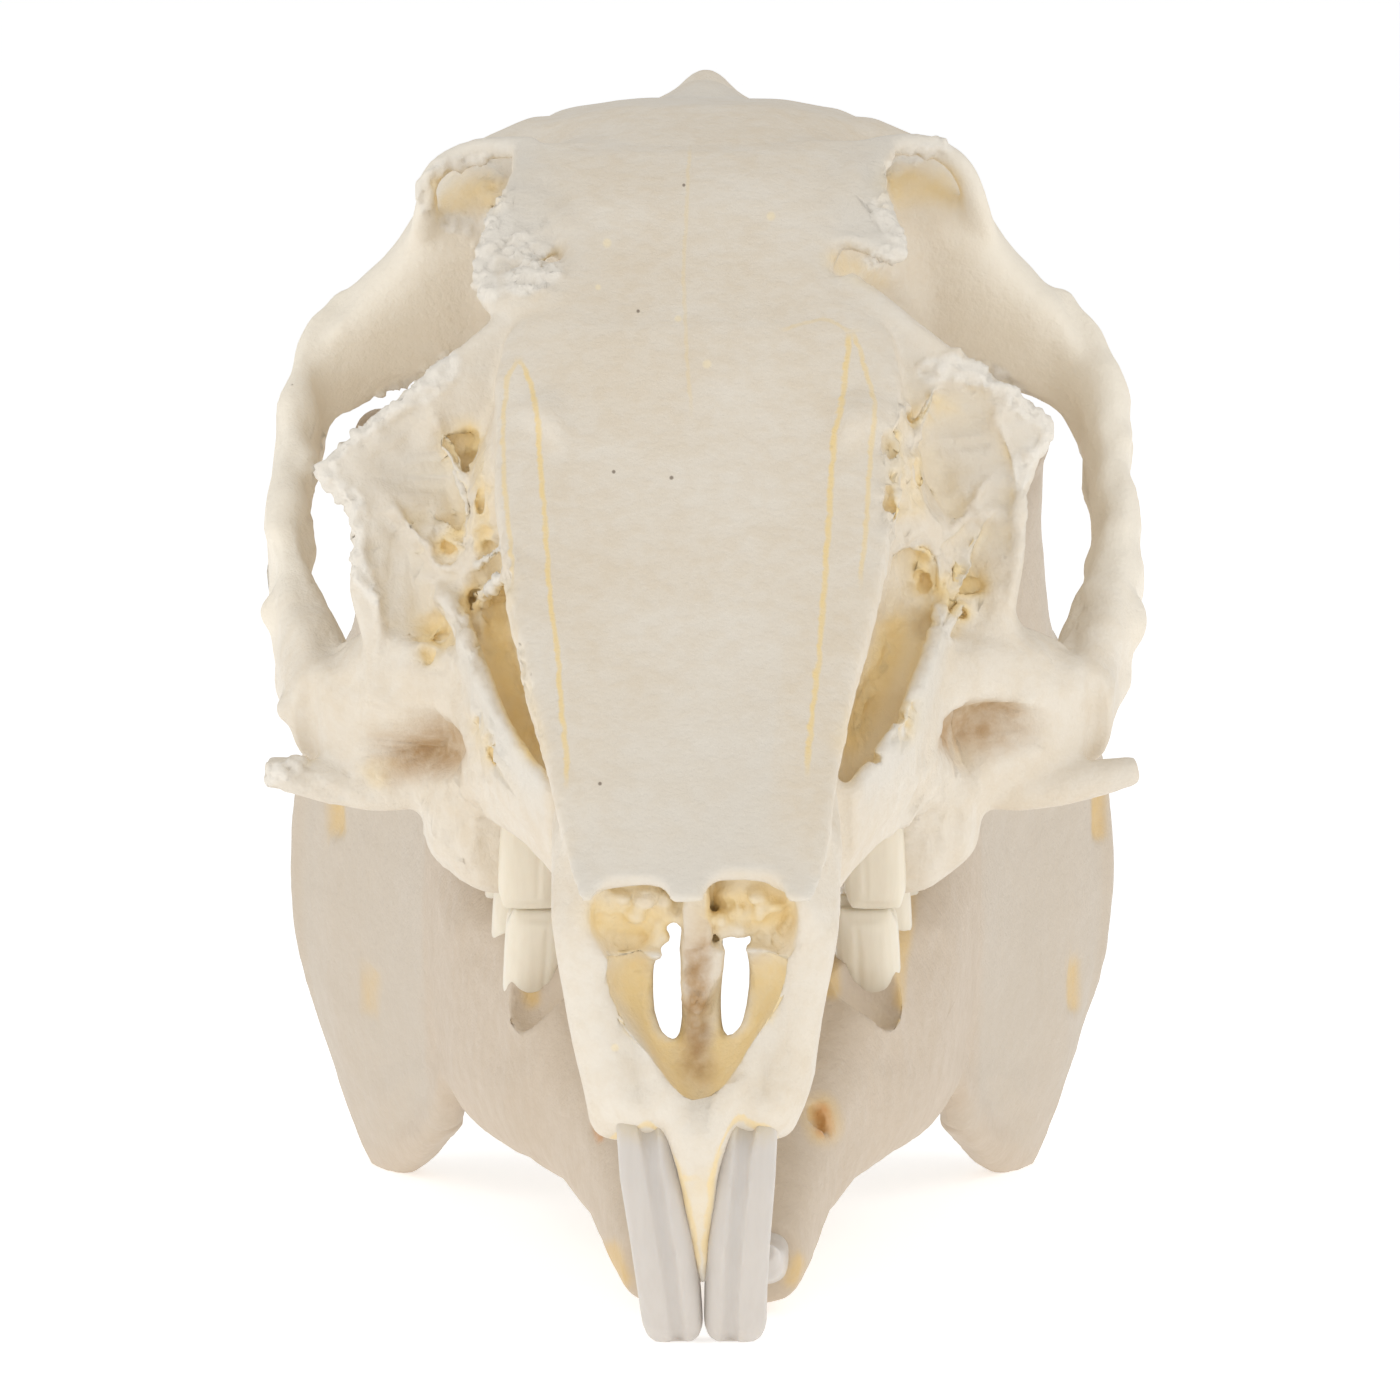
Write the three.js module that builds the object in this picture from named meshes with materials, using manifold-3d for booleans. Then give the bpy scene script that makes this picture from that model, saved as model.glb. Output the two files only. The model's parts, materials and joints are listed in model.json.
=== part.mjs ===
// A rabbit skull: cranium, the two halves of the lower jaw and the 28 teeth, resting on a table.
// Units are millimetres. Every piece is modelled in the anatomical frame: +X is the viewer's right when
// the nose points at the viewer, -Y is the nose, +Z is up and the chewing plane of the teeth is level.
// The last group then pitches the skull nose-down to the pose in which it comes to rest.

import * as THREE from "three";
import { mergeVertices } from "three/addons/utils/BufferGeometryUtils.js";
import Module from "manifold-3d";

const wasm = await Module();
wasm.setup();

// Driving dimensions
const CHEWING_PLANE_Z = 24; // where the upper and lower cheek teeth meet
const ARCH_HALF_WIDTH = 20.3; // midline to the middle of the cheek arch
const NOSE_TIP = { y: -39, z: 37.1 }; // front end of the nasal bones
const NASAL_SLOPE = 0.345; // rise of the nasal bones per millimetre of run
const BRAINCASE_HALF_WIDTH = 13.6;
const NASAL_HALF_WIDTH = 3.9; // of the hollow behind the nose opening
const FIT_GAP = 0.3; // clearance between a tooth and its socket, and between the two jaw halves
const REST_PITCH = THREE.MathUtils.degToRad(20); // nose-down pitch at which the skull rests
const REST_LEVEL = 0.6; // height of the resting plane in the pitched frame
const SIDES = { body: 14, bulb: 10, strut: 8, tooth: 8 }; // facets round a section

const BONE = { color: 0xe6dcc8, roughness: 0.62, metalness: 0 };
const TOOTH = { color: 0xf1eee8, roughness: 0.34, metalness: 0 };

const nasalRoofZ = (y) => NOSE_TIP.z + (y - NOSE_TIP.y) * NASAL_SLOPE;

// Sections: a closed ring has a centre, two half-axes and a squareness (2 is an ellipse)

function ring(centre, across, up, squareness = 2, bow = [0, 0, 0]) {
  return { centre, across, up, squareness, bow };
}

const ringY = (x, y, z, halfX, halfZ, squareness) => ring([x, y, z], [halfX, 0, 0], [0, 0, halfZ], squareness);
const ringX = (x, y, z, halfY, halfZ, squareness) => ring([x, y, z], [0, halfY, 0], [0, 0, halfZ], squareness);
const ringZ = (x, y, z, halfX, halfY, squareness) => ring([x, y, z], [halfX, 0, 0], [0, halfY, 0], squareness);

// Rings along a bent bar: each stop is [x, y, z, half thickness, half height]
function barRings(stops, upward = new THREE.Vector3(0, 0, 1)) {
  const points = stops.map(([x, y, z]) => new THREE.Vector3(x, y, z));
  return stops.map(([x, y, z, thickness, height], i) => {
    const before = points[Math.max(i - 1, 0)];
    const after = points[Math.min(i + 1, points.length - 1)];
    const along = after.clone().sub(before).normalize();
    const across = new THREE.Vector3().crossVectors(along, upward).normalize();
    const up = new THREE.Vector3().crossVectors(across, along).normalize();
    return ring([x, y, z], across.multiplyScalar(thickness).toArray(), up.multiplyScalar(height).toArray());
  });
}

// A closed skin through a row of rings, made from a cylinder whose rows are moved to the rings
function loft(rings, sides = SIDES.body) {
  const geometry = new THREE.CylinderGeometry(1, 1, 1, sides, rings.length - 1);
  const place = geometry.getAttribute("position");
  for (let i = 0; i < place.count; i += 1) {
    const row = Math.round((0.5 - place.getY(i)) * (rings.length - 1));
    const { centre, across, up, squareness, bow } = rings[row];
    const radius = Math.hypot(place.getX(i), place.getZ(i));
    const angle = Math.atan2(place.getZ(i), place.getX(i));
    const power = 2 / squareness;
    const c = radius * Math.sign(Math.cos(angle)) * Math.abs(Math.cos(angle)) ** power;
    const s = radius * Math.sign(Math.sin(angle)) * Math.abs(Math.sin(angle)) ** power;
    place.setXYZ(i, ...[0, 1, 2].map((k) => centre[k] + across[k] * c + up[k] * s + bow[k] * (1 - c * c)));
  }
  return solid(geometry);
}

function ellipsoid(x, y, z, halfX, halfY, halfZ, sides = SIDES.strut) {
  const geometry = new THREE.SphereGeometry(1, sides, Math.round(sides * 0.6));
  geometry.scale(halfX, halfY, halfZ).translate(x, y, z);
  return solid(geometry);
}

// Solids and geometries

function solid(geometry) {
  geometry.deleteAttribute("normal");
  geometry.deleteAttribute("uv");
  const merged = mergeVertices(geometry, 1e-4);
  const triVerts = new Uint32Array(merged.index.array);
  const vertProperties = merged.getAttribute("position").array;
  const made = new wasm.Manifold(new wasm.Mesh({ numProp: 3, vertProperties, triVerts }));
  if (made.volume() > 0) return made;
  for (let i = 0; i < triVerts.length; i += 3) {
    [triVerts[i + 1], triVerts[i + 2]] = [triVerts[i + 2], triVerts[i + 1]];
  }
  return new wasm.Manifold(new wasm.Mesh({ numProp: 3, vertProperties, triVerts }));
}

const joined = (solids) => solids.reduce((whole, piece) => whole.add(piece));
const cutBy = (whole, cutters) => cutters.reduce((left, cutter) => left.subtract(cutter), whole);
const bothSides = (make) => [make(1), make(-1)];

function meshOf(name, shape, finish) {
  const { vertProperties, triVerts, numProp } = shape.getMesh();
  const geometry = new THREE.BufferGeometry();
  const corners = new Float32Array(triVerts.length * 3);
  triVerts.forEach((v, i) => corners.set(vertProperties.slice(v * numProp, v * numProp + 3), i * 3));
  geometry.setAttribute("position", new THREE.BufferAttribute(corners, 3));
  geometry.computeVertexNormals();
  const mesh = new THREE.Mesh(geometry, new THREE.MeshStandardMaterial(finish));
  mesh.name = name;
  return mesh;
}

// Everything under the table top, in the anatomical frame
function belowTable() {
  const depth = 40;
  const geometry = new THREE.BoxGeometry(200, 200, depth);
  geometry.translate(0, 0, REST_LEVEL - depth / 2).rotateX(-REST_PITCH);
  return solid(geometry);
}

// Teeth: each is a list of rings, which an offset widens into its socket

const widened = (rings, by) =>
  rings.map((r) => {
    const grow = (axis) => {
      const length = Math.hypot(...axis);
      return axis.map((v) => (v * (length + by)) / length);
    };
    return { ...r, across: grow(r.across), up: grow(r.up) };
  });

// The socket of a tooth also clears the root end, by lengthening the skin at its first ring
function socketOf(rings) {
  const wide = widened(rings, FIT_GAP);
  const away = rings[0].centre.map((v, k) => v - rings[1].centre[k]);
  const length = Math.hypot(...away);
  const end = wide[0].centre.map((v, k) => v + (away[k] / length) * FIT_GAP);
  return loft([{ ...wide[0], centre: end }, ...wide.slice(1)], SIDES.tooth);
}

const tiltedRing = (x, y, z, halfX, halfDepth, lean) =>
  ring([x, y, z], [halfX, 0, 0], [0, halfDepth * Math.cos(lean), halfDepth * Math.sin(lean)], 2.8);

// Upper incisor: a curved chisel, from its root in the snout to its worn tip
const upperIncisorRings = (side) => [
  tiltedRing(side * 2.8, -33.6, 29.4, 1.15, 1.0, -1.5),
  tiltedRing(side * 2.7, -36.8, 29.3, 1.3, 1.1, -1.2),
  tiltedRing(side * 2.5, -39.6, 27.7, 1.38, 1.15, -0.7),
  tiltedRing(side * 2.2, -41.2, 24.4, 1.38, 1.15, -0.25),
  tiltedRing(side * 1.8, -41.6, 20.4, 1.38, 1.1, 0),
  tiltedRing(side * 1.55, -41.0, 15.4, 1.38, 0.95, 0.12),
];

// Peg tooth: the small second incisor behind the first
const pegToothRings = (side) => [
  tiltedRing(side * 1.5, -34.6, 27.4, 0.62, 0.62, -0.5),
  tiltedRing(side * 1.55, -36.2, 25.2, 0.68, 0.65, -0.45),
  tiltedRing(side * 1.55, -37.9, 21.6, 0.6, 0.5, -0.4),
];

// Lower incisor: nearly level, its tip just behind the upper one
const lowerIncisorRings = (side) => [
  ring([side * 3.7, -24, 15.6], [1.1, 0, 0], [0, 0, 1.1], 2.8),
  ring([side * 2.5, -30, 15.2], [1.25, 0, 0], [0, -0.1, 1.25], 2.8),
  ring([side * 1.95, -34.5, 16.2], [1.3, 0, 0], [0, -0.35, 1.2], 2.8),
  ring([side * 1.7, -37.6, 17.9], [1.28, 0, 0], [0, -0.5, 1.0], 2.8),
  ring([side * 1.6, -39.2, 19.4], [1.2, 0, 0], [0, -0.45, 0.5], 2.8),
];

// Cheek teeth from front to back: middle x, middle y, half width, half length along the row
const UPPER_ROW = [
  [8.2, -14.0, 1.5, 1.0],
  [8.9, -11.3, 2.1, 1.2],
  [9.3, -8.4, 2.2, 1.2],
  [9.4, -5.5, 2.2, 1.2],
  [9.2, -2.6, 2.0, 1.15],
  [8.8, -0.3, 1.0, 0.75],
];
const LOWER_ROW = [
  [7.7, -13.2, 1.55, 1.45],
  [8.2, -9.8, 1.7, 1.35],
  [8.6, -6.7, 1.7, 1.25],
  [8.9, -3.8, 1.6, 1.2],
  [9.1, -1.5, 0.9, 0.7],
];
const UPPER_ROOT_Z = 31.2;
const LOWER_ROOT_Z = 15.2;

const upperCheekRings = (side, [x, y, halfX, halfY]) => [
  ringZ(side * (x - 0.3), y + 0.5, UPPER_ROOT_Z, halfX * 0.9, halfY * 0.9, 3),
  ringZ(side * x, y, CHEWING_PLANE_Z + FIT_GAP, halfX, halfY, 3),
];
const lowerCheekRings = (side, [x, y, halfX, halfY]) => [
  ringZ(side * (x + 0.5), y + 0.8, LOWER_ROOT_Z, halfX * 0.9, halfY * 0.95, 3),
  ringZ(side * x, y, CHEWING_PLANE_Z, halfX, halfY, 3),
];

// Cranium, made of its regions

function snout() {
  const stops = [
    [-39.6, 26.3, 4.9],
    [-37.5, 25.4, 5.4],
    [-33, 26.2, 5.7],
    [-28, 27, 6.5],
    [-22, 27, 7.6],
    [-16, 27, 8.6],
    [-10, 28, 9.2],
    [-4, 31, 9.2],
    [2, 34, 7.6],
  ];
  return loft(
    stops.map(([y, floor, halfWidth]) => {
      const roof = nasalRoofZ(y);
      return ringY(0, y, (roof + floor) / 2, halfWidth, (roof - floor) / 2, 3.2);
    }),
  );
}

function braincase() {
  return loft([
    ringY(0, -3, 41, 5.6, 7.5, 2.6),
    ringY(0, 3, 41.2, 6.2, 9.3, 2.6),
    ringY(0, 9, 40.8, 8.4, 10.8, 2.5),
    ringY(0, 15, 40, 11.6, 11.9, 2.4),
    ringY(0, 21, 39.6, BRAINCASE_HALF_WIDTH, 12.2, 2.3),
    ringY(0, 27, 38.8, BRAINCASE_HALF_WIDTH, 12, 2.2),
    ringY(0, 33, 37.4, 12.6, 11.2, 2.2),
    ringY(0, 38, 36.4, 10.6, 9.4, 2.3),
    ringY(0, 41.5, 35.8, 7.5, 7, 2.4),
  ]);
}

// Front wall of the eye socket, which flares out to the tear-bone corner
const socketWall = (side) =>
  loft([
    ringX(side * 5, -7.5, 38, 5, 8.5, 2.6),
    ringX(side * 9, -7, 38.4, 4.4, 8.6, 2.6),
    ringX(side * 12, -6.2, 38.2, 3.4, 8.2, 2.5),
    ringX(side * 14.6, -5.2, 39.4, 2.2, 6, 2.4),
    ringX(side * 16.4, -4.6, 41.8, 1.4, 2.8, 2),
    ringX(side * 17.6, -4.2, 43, 0.7, 1.1, 2),
  ], SIDES.strut);

// Front root of the cheek arch, ending in the muscle knob
const archRoot = (side) =>
  loft([
    ringX(side * 5, -9, 30.5, 5, 4.2, 2.5),
    ringX(side * 10, -8.4, 30.4, 4, 3.6, 2.5),
    ringX(side * 14, -7.8, 30.2, 3, 2.9, 2.4),
    ringX(side * 17.5, -7.4, 29.6, 2.6, 2.3, 2.2),
    ringX(side * 19.8, -7.4, 28.9, 1.7, 1.5, 2),
    ringX(side * 20.8, -7.6, 28.5, 0.7, 0.8, 2),
  ], SIDES.strut);

const cheekArch = (side) =>
  loft(barRings([
    [side * 17, -7, 30, 1.6, 2.6],
    [side * 18.7, -3.5, 31.2, 1.4, 3],
    [side * (ARCH_HALF_WIDTH - 0.3), 2, 32.8, 1.3, 3.2],
    [side * ARCH_HALF_WIDTH, 8, 34.6, 1.2, 3.2],
    [side * (ARCH_HALF_WIDTH - 0.4), 13.5, 36.6, 1.25, 3.1],
    [side * 18.2, 18, 39, 1.6, 2.8],
    [side * 15.4, 19.8, 41.2, 2.2, 2.8],
    [side * 11, 19.6, 42.4, 3.2, 3.4],
  ]), SIDES.strut);

// Free rear end of the cheek bone, behind where the arch turns in
const cheekSpur = (side) =>
  loft(barRings([
    [side * 19.7, 12, 35, 1.1, 2],
    [side * 19.2, 18, 35.6, 0.9, 1.6],
    [side * 18.4, 23, 35.4, 0.5, 0.8],
  ]), SIDES.strut);

// Wing of the brow over the eye socket, with a front and a rear point
const browWing = (side) =>
  loft([
    ring([side * 8.9, 1.8, 50.1], [0.5, 0, 0], [0, 0, 0.5]),
    ring([side * 9.1, 4.5, 50.5], [1.9, 0, -0.2], [0, 0, 0.7]),
    ring([side * 8.6, 8, 50.7], [3.2, 0, -0.4], [0, 0, 0.9]),
    ring([side * 9.8, 12, 50.5], [2.9, 0, -0.5], [0, 0, 0.9]),
    ring([side * 11.8, 15.5, 49.8], [1.5, 0, -0.4], [0, 0, 0.8]),
    ring([side * 12.9, 18, 49.1], [0.5, 0, 0], [0, 0, 0.5]),
  ], SIDES.strut);

const browRoot = (side) => loft([ringX(side * 3, 9, 50, 3.4, 1.4), ringX(side * 9, 9, 50.4, 2.8, 0.9)], SIDES.strut);

// Ridge of bone that holds the upper cheek teeth
const toothRidge = (side) =>
  loft([
    ringY(side * 8, -16.4, 28.6, 2.2, 2.2, 2.6),
    ringY(side * 8.5, -13, 28.6, 3.2, 3, 3),
    ringY(side * 9.2, -8, 28.6, 3.6, 3.2, 3),
    ringY(side * 9.2, -3, 29, 3.4, 3.3, 3),
    ringY(side * 8.6, 1.5, 30, 2.4, 3.4, 2.6),
    ringY(side * 7, 5, 31.5, 1.4, 3.4, 2.2),
  ], SIDES.strut);

const wingPlate = (side) =>
  loft([
    ringY(side * 6.6, 3, 31, 1.0, 5),
    ringY(side * 5.4, 9, 29.2, 0.9, 4.6),
    ringY(side * 4.8, 14, 29, 0.9, 4.2),
    ringY(side * 4.6, 19, 30, 1, 3),
  ], SIDES.strut);

const earBulb = (side) => ellipsoid(side * 9, 30, 29.4, 5, 6.4, 6.6, SIDES.bulb);

const earTube = (side) =>
  loft(barRings([
    [side * 9.6, 29, 31, 3, 3],
    [side * 12.4, 30, 35, 2.6, 2.6],
    [side * 14.2, 31, 38.4, 2.4, 2.4],
  ], new THREE.Vector3(0, 1, 0)), SIDES.strut);

const neckKnuckle = (side) => ellipsoid(side * 4.4, 41.2, 30.8, 2, 2.8, 3.2);
const neckSpur = (side) =>
  loft([ringZ(side * 9, 37.4, 33, 1.8, 1.6), ringZ(side * 9.4, 38, 28, 1.1, 1), ringZ(side * 9.2, 38, 24.6, 0.5, 0.5)],
    SIDES.strut);

const occipitalKnob = () => ellipsoid(0, 39.4, 44.6, 4.6, 2.8, 1.9);
const palateBridge = () => loft([ringY(0, -13, 28.4, 6.5, 1.3, 3), ringY(0, -4, 29.2, 7, 1.4, 3)], SIDES.strut);

// Hollows of the cranium

const nasalCavity = () =>
  loft([
    ringY(0, -46, 33.2, 3.8, 2.1, 2.6),
    ringY(0, -39, 33.6, NASAL_HALF_WIDTH, 2.2, 2.6),
    ringY(0, -33, 35, NASAL_HALF_WIDTH, 3.1, 2.6),
    ringY(0, -24, 36.4, NASAL_HALF_WIDTH, 4.6, 2.6),
    ringY(0, -14, 38, NASAL_HALF_WIDTH, 5, 2.6),
    ringY(0, -8, 39, 3.4, 3.6, 2.4),
  ], SIDES.bulb);

// Cleft between the two halves of the snout tip, under the nasal cavity
const snoutCleft = () => loft([ringY(0, -44, 31, 1, 3.2), ringY(0, -37, 31, 0.7, 2.6)], SIDES.tooth);

const rearNostril = () =>
  loft([
    ringY(0, -4.5, 30, 2.8, 2.6),
    ringY(0, 4, 29, 3.6, 3.8),
    ringY(0, 12, 28, 3.4, 3.9),
    ringY(0, 24, 24, 3, 3.4),
  ], SIDES.strut);

const palateSlit = (side) =>
  loft([
    ringY(side * 1.7, -33, 27, 0.5, 3),
    ringY(side * 2.3, -28, 28, 1.3, 4),
    ringY(side * 2.7, -20, 28, 1.8, 4),
    ringY(side * 2.6, -13.5, 28, 1.2, 4),
  ], SIDES.tooth);

const neckOpening = () => loft([ringY(0, 32, 34.2, 3, 3), ringY(0, 46, 33.4, 4, 4)], SIDES.strut);
const earHole = (side) => ellipsoid(side * 15.6, 31.6, 40.4, 2.2, 1.6, 3.2, SIDES.tooth);
const cheekPit = (side) => ellipsoid(side * 12.8, -11.4, 31.2, 2.4, 2.6, 1.9, SIDES.tooth);
const wingBowl = (side) => ellipsoid(side * 11.6, -10.6, 40.2, 3, 2.4, 5.2);
const snoutWindow = (side) => ellipsoid(side * 9.4, -17, 38.4, 2, 6.4, 3.4);

// The eye socket goes in as far as the thin wall between the two sockets
function eyeSocket(side) {
  const dividingWall = ellipsoid(0, 8, 38, 3.4, 14, 14);
  return ellipsoid(side * 8.2, 8, 37, 5.4, 9, 9.5, SIDES.bulb).subtract(dividingWall);
}

function cranium() {
  const regions = [
    snout(),
    braincase(),
    occipitalKnob(),
    palateBridge(),
    ...[socketWall, archRoot, cheekArch, cheekSpur, browWing, browRoot, toothRidge, wingPlate].flatMap(bothSides),
    ...[earBulb, earTube, neckKnuckle, neckSpur].flatMap(bothSides),
  ];
  const cuts = [
    nasalCavity(),
    snoutCleft(),
    rearNostril(),
    neckOpening(),
    ...[palateSlit, earHole, cheekPit, wingBowl, snoutWindow, eyeSocket].flatMap(bothSides),
    ...bothSides((side) => socketOf(upperIncisorRings(side))),
    ...bothSides((side) => socketOf(pegToothRings(side))),
    ...UPPER_ROW.flatMap((tooth) => bothSides((side) => socketOf(upperCheekRings(side, tooth)))),
  ];
  return cutBy(joined(regions), cuts);
}

// Lower jaw half: a tooth-bearing bar and a thin flared blade with the hinge knob on top

function jawBar(side) {
  return loft([
    ringY(side * 2.2, -33.6, 15.6, 1.95, 2.2, 2.4),
    ringY(side * 2.5, -30, 15.6, 2.3, 3.2, 2.4),
    ringY(side * 3.3, -25, 16, 2.7, 3.7, 2.4),
    ringY(side * 4.9, -20, 16, 2.7, 4, 2.5),
    ringY(side * 6.8, -15.5, 16.2, 2.9, 5.2, 2.8),
    ringY(side * 8.2, -10.5, 15.4, 3, 6.2, 2.8),
    ringY(side * 9.4, -5.5, 14.6, 3, 7.2, 2.8),
    ringY(side * 10.8, 0, 14, 2.6, 8, 2.6),
    ringY(side * 12.4, 5, 14, 1.6, 8.4, 2.4),
  ]);
}

// Blade stops from the heel up: height, front edge [x, y], rear edge [x, y], half thickness, dish
const BLADE = [
  [-4, [14.2, 8], [15.2, 13], 1.2, 0],
  [-1, [13.6, 4.6], [17, 16], 1.3, 0.3],
  [4, [12.8, 1.6], [19.6, 18.6], 1.0, 0.8],
  [9, [12.2, 1], [20.4, 19.4], 0.9, 1],
  [15, [11.8, 1], [20.2, 19.6], 0.9, 1],
  [20, [11.8, 3], [18.8, 18.6], 0.9, 0.8],
  [25, [12.4, 7], [17.4, 17.6], 0.9, 0.4],
  [30, [13.4, 10.4], [16.6, 18.2], 1, 0.2],
  [33.6, [14.4, 12.6], [16.2, 19], 1.2, 0],
];

function jawBlade(side) {
  return loft(BLADE.map(([z, front, rear, halfThickness, dish]) => {
    const middle = [(front[0] + rear[0]) / 2, (front[1] + rear[1]) / 2];
    const half = [(rear[0] - front[0]) / 2, (rear[1] - front[1]) / 2];
    const length = Math.hypot(...half);
    const outward = [half[1] / length, -half[0] / length];
    return ring(
      [side * middle[0], middle[1], z],
      [side * half[0], half[1], 0],
      [side * outward[0] * halfThickness, outward[1] * halfThickness, 0],
      2.6,
      [-side * outward[0] * dish, -outward[1] * dish, 0],
    );
  }));
}

// The hinge knob lies under the rear root of the cheek arch
const hingeKnob = (side) => ellipsoid(side * 15.4, 16.6, 34.8, 1.9, 3.4, 1.9);

function jawHalf(side) {
  const midlineBlock = new THREE.BoxGeometry(40, 120, 80).translate(side * (FIT_GAP / 2 - 20), 0, 10);
  const toothWindow = ellipsoid(side * 10.6, -14.4, 20.4, 2.4, 1.7, 2.6, SIDES.tooth);
  const nerveHole = ellipsoid(side * 6.8, -22.6, 18.6, 2, 0.9, 1, SIDES.tooth);
  const cuts = [
    solid(midlineBlock),
    belowTable(),
    toothWindow,
    nerveHole,
    socketOf(lowerIncisorRings(side)),
    ...LOWER_ROW.map((tooth) => socketOf(lowerCheekRings(side, tooth))),
  ];
  return cutBy(joined([jawBar(side), jawBlade(side), hingeKnob(side)]), cuts);
}

// Assembly

const SIDE_NAMES = [[1, "right"], [-1, "left"]]; // as the viewer sees the face

const skull = new THREE.Group();
skull.add(meshOf("cranium", cranium(), BONE));
for (const [side, name] of SIDE_NAMES) {
  skull.add(meshOf(`lower_jaw_${name}`, jawHalf(side), BONE));
  const tooth = (label, rings) => skull.add(meshOf(label, loft(rings, SIDES.tooth), TOOTH));
  skull.add(meshOf(`upper_incisor_${name}`, loft(upperIncisorRings(side), SIDES.tooth).subtract(belowTable()), TOOTH));
  tooth(`peg_tooth_${name}`, pegToothRings(side));
  tooth(`lower_incisor_${name}`, lowerIncisorRings(side));
  UPPER_ROW.forEach((place, i) => tooth(`upper_cheek_tooth_${name}_${i + 1}`, upperCheekRings(side, place)));
  LOWER_ROW.forEach((place, i) => tooth(`lower_cheek_tooth_${name}_${i + 1}`, lowerCheekRings(side, place)));
}

// Pitch to the resting pose, then put the origin under the middle of the bounding box
skull.rotation.x = REST_PITCH;
const restingSkull = new THREE.Group();
restingSkull.add(skull);
const box = new THREE.Box3().setFromObject(restingSkull, true);
skull.position.set(-(box.min.x + box.max.x) / 2, -(box.min.y + box.max.y) / 2, -box.min.z);

export default restingSkull;
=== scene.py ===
"""Looks of a dry rabbit skull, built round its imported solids.

Bones and teeth are modelled in millimetres in the skull's level frame: the chewing plane is level, the
nose points along -Y and +X is the viewer's right. Each finished piece is then laid nose-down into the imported
frame, in metres. Small holes and seams are placed by their pixel in the photograph's 1400 x 1400 frame, on
the bone that carries them.
"""

import json
import logging
import math
import random
from dataclasses import dataclass
from enum import Enum

import bpy
import numpy as np
from mathutils import Euler, Matrix, Vector, noise
from mathutils.bvhtree import BVHTree

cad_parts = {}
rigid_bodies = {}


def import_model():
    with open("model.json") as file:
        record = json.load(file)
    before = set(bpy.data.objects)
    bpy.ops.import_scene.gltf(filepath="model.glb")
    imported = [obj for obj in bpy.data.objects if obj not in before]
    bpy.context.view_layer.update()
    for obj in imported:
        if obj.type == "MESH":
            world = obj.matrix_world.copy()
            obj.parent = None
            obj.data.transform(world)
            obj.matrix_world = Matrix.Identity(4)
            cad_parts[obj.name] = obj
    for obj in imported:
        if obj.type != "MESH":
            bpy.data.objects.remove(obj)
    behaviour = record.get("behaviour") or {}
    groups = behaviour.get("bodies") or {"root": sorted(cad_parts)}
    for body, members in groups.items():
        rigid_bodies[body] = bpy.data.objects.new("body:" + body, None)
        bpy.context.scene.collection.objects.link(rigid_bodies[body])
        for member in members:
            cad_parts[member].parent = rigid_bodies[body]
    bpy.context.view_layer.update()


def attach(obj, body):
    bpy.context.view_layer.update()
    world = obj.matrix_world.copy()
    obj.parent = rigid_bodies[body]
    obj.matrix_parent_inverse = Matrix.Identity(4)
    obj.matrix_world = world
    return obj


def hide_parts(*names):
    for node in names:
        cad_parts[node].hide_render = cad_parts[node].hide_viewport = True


log = logging.getLogger("rabbit_skull")

Point = tuple[float, float, float]
Pixel = tuple[float, float]
Stop = tuple[float, float, float, float, float]
Knot = tuple[float, float, float, float]
Colour = tuple[float, float, float, float]
Grain = tuple[Point, Point, Point]

BODY = "root"
BONE_LIMIT = 190_000  # triangles in the largest piece
PICTURE_MAP = "picture"  # UV map that holds each point's place in the photograph
SEEN_ENOUGH = 0.02  # how far a point faces the photograph's eye to take what its pixel shows


class Axis(Enum):
    """The way a loft runs, with the turn that lays its first section across that way."""

    X = (0, (0.0, math.pi / 2, 0.0))
    Y = (1, (math.pi / 2, 0.0, 0.0))
    Z = (2, (0.0, 0.0, 0.0))

    @property
    def index(self) -> int:
        """Place of the axis in a point."""
        return self.value[0]

    @property
    def turn(self) -> Point:
        """Turn of a level plane that faces this way."""
        return self.value[1]

    def point(self, along: float, first: float, second: float) -> Point:
        """Puts a length along the axis and two across it in x, y, z order."""
        across = [first, second]
        across.insert(self.index, along)
        return tuple(across)


class Side(Enum):
    """Right and left as the viewer sees the face."""

    RIGHT = 1
    LEFT = -1

    @property
    def label(self) -> str:
        """Ending of a node's name on this side."""
        return self.name.lower()

    def at(self, point: Point) -> Point:
        """Mirrors a point of the right side to this side."""
        return (self.value * point[0], *point[1:])

    def stops(self, axis: Axis, stops: tuple[Stop, ...]) -> list[Stop]:
        """Mirrors a loft's stops of the right side to this side."""
        place = 0 if axis is Axis.X else 1
        return [tuple(v * self.value if i == place else v for i, v in enumerate(stop)) for stop in stops]

    def knots(self, knots: tuple[Knot, ...]) -> list[Knot]:
        """Mirrors a rod's knots of the right side to this side."""
        return [(self.value * x, y, z, radius) for x, y, z, radius in knots]


@dataclass(frozen=True)
class RestPose:
    """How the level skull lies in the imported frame."""

    pitch: float = math.radians(20.0)
    shift_y: float = 9.438
    shift_z: float = -0.6
    unit: float = 0.001

    def matrix(self) -> Matrix:
        """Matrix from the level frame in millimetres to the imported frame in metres."""
        shift = Matrix.Translation((0.0, self.shift_y, self.shift_z))
        return Matrix.Scale(self.unit, 4) @ shift @ Matrix.Rotation(self.pitch, 4, "X")


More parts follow.
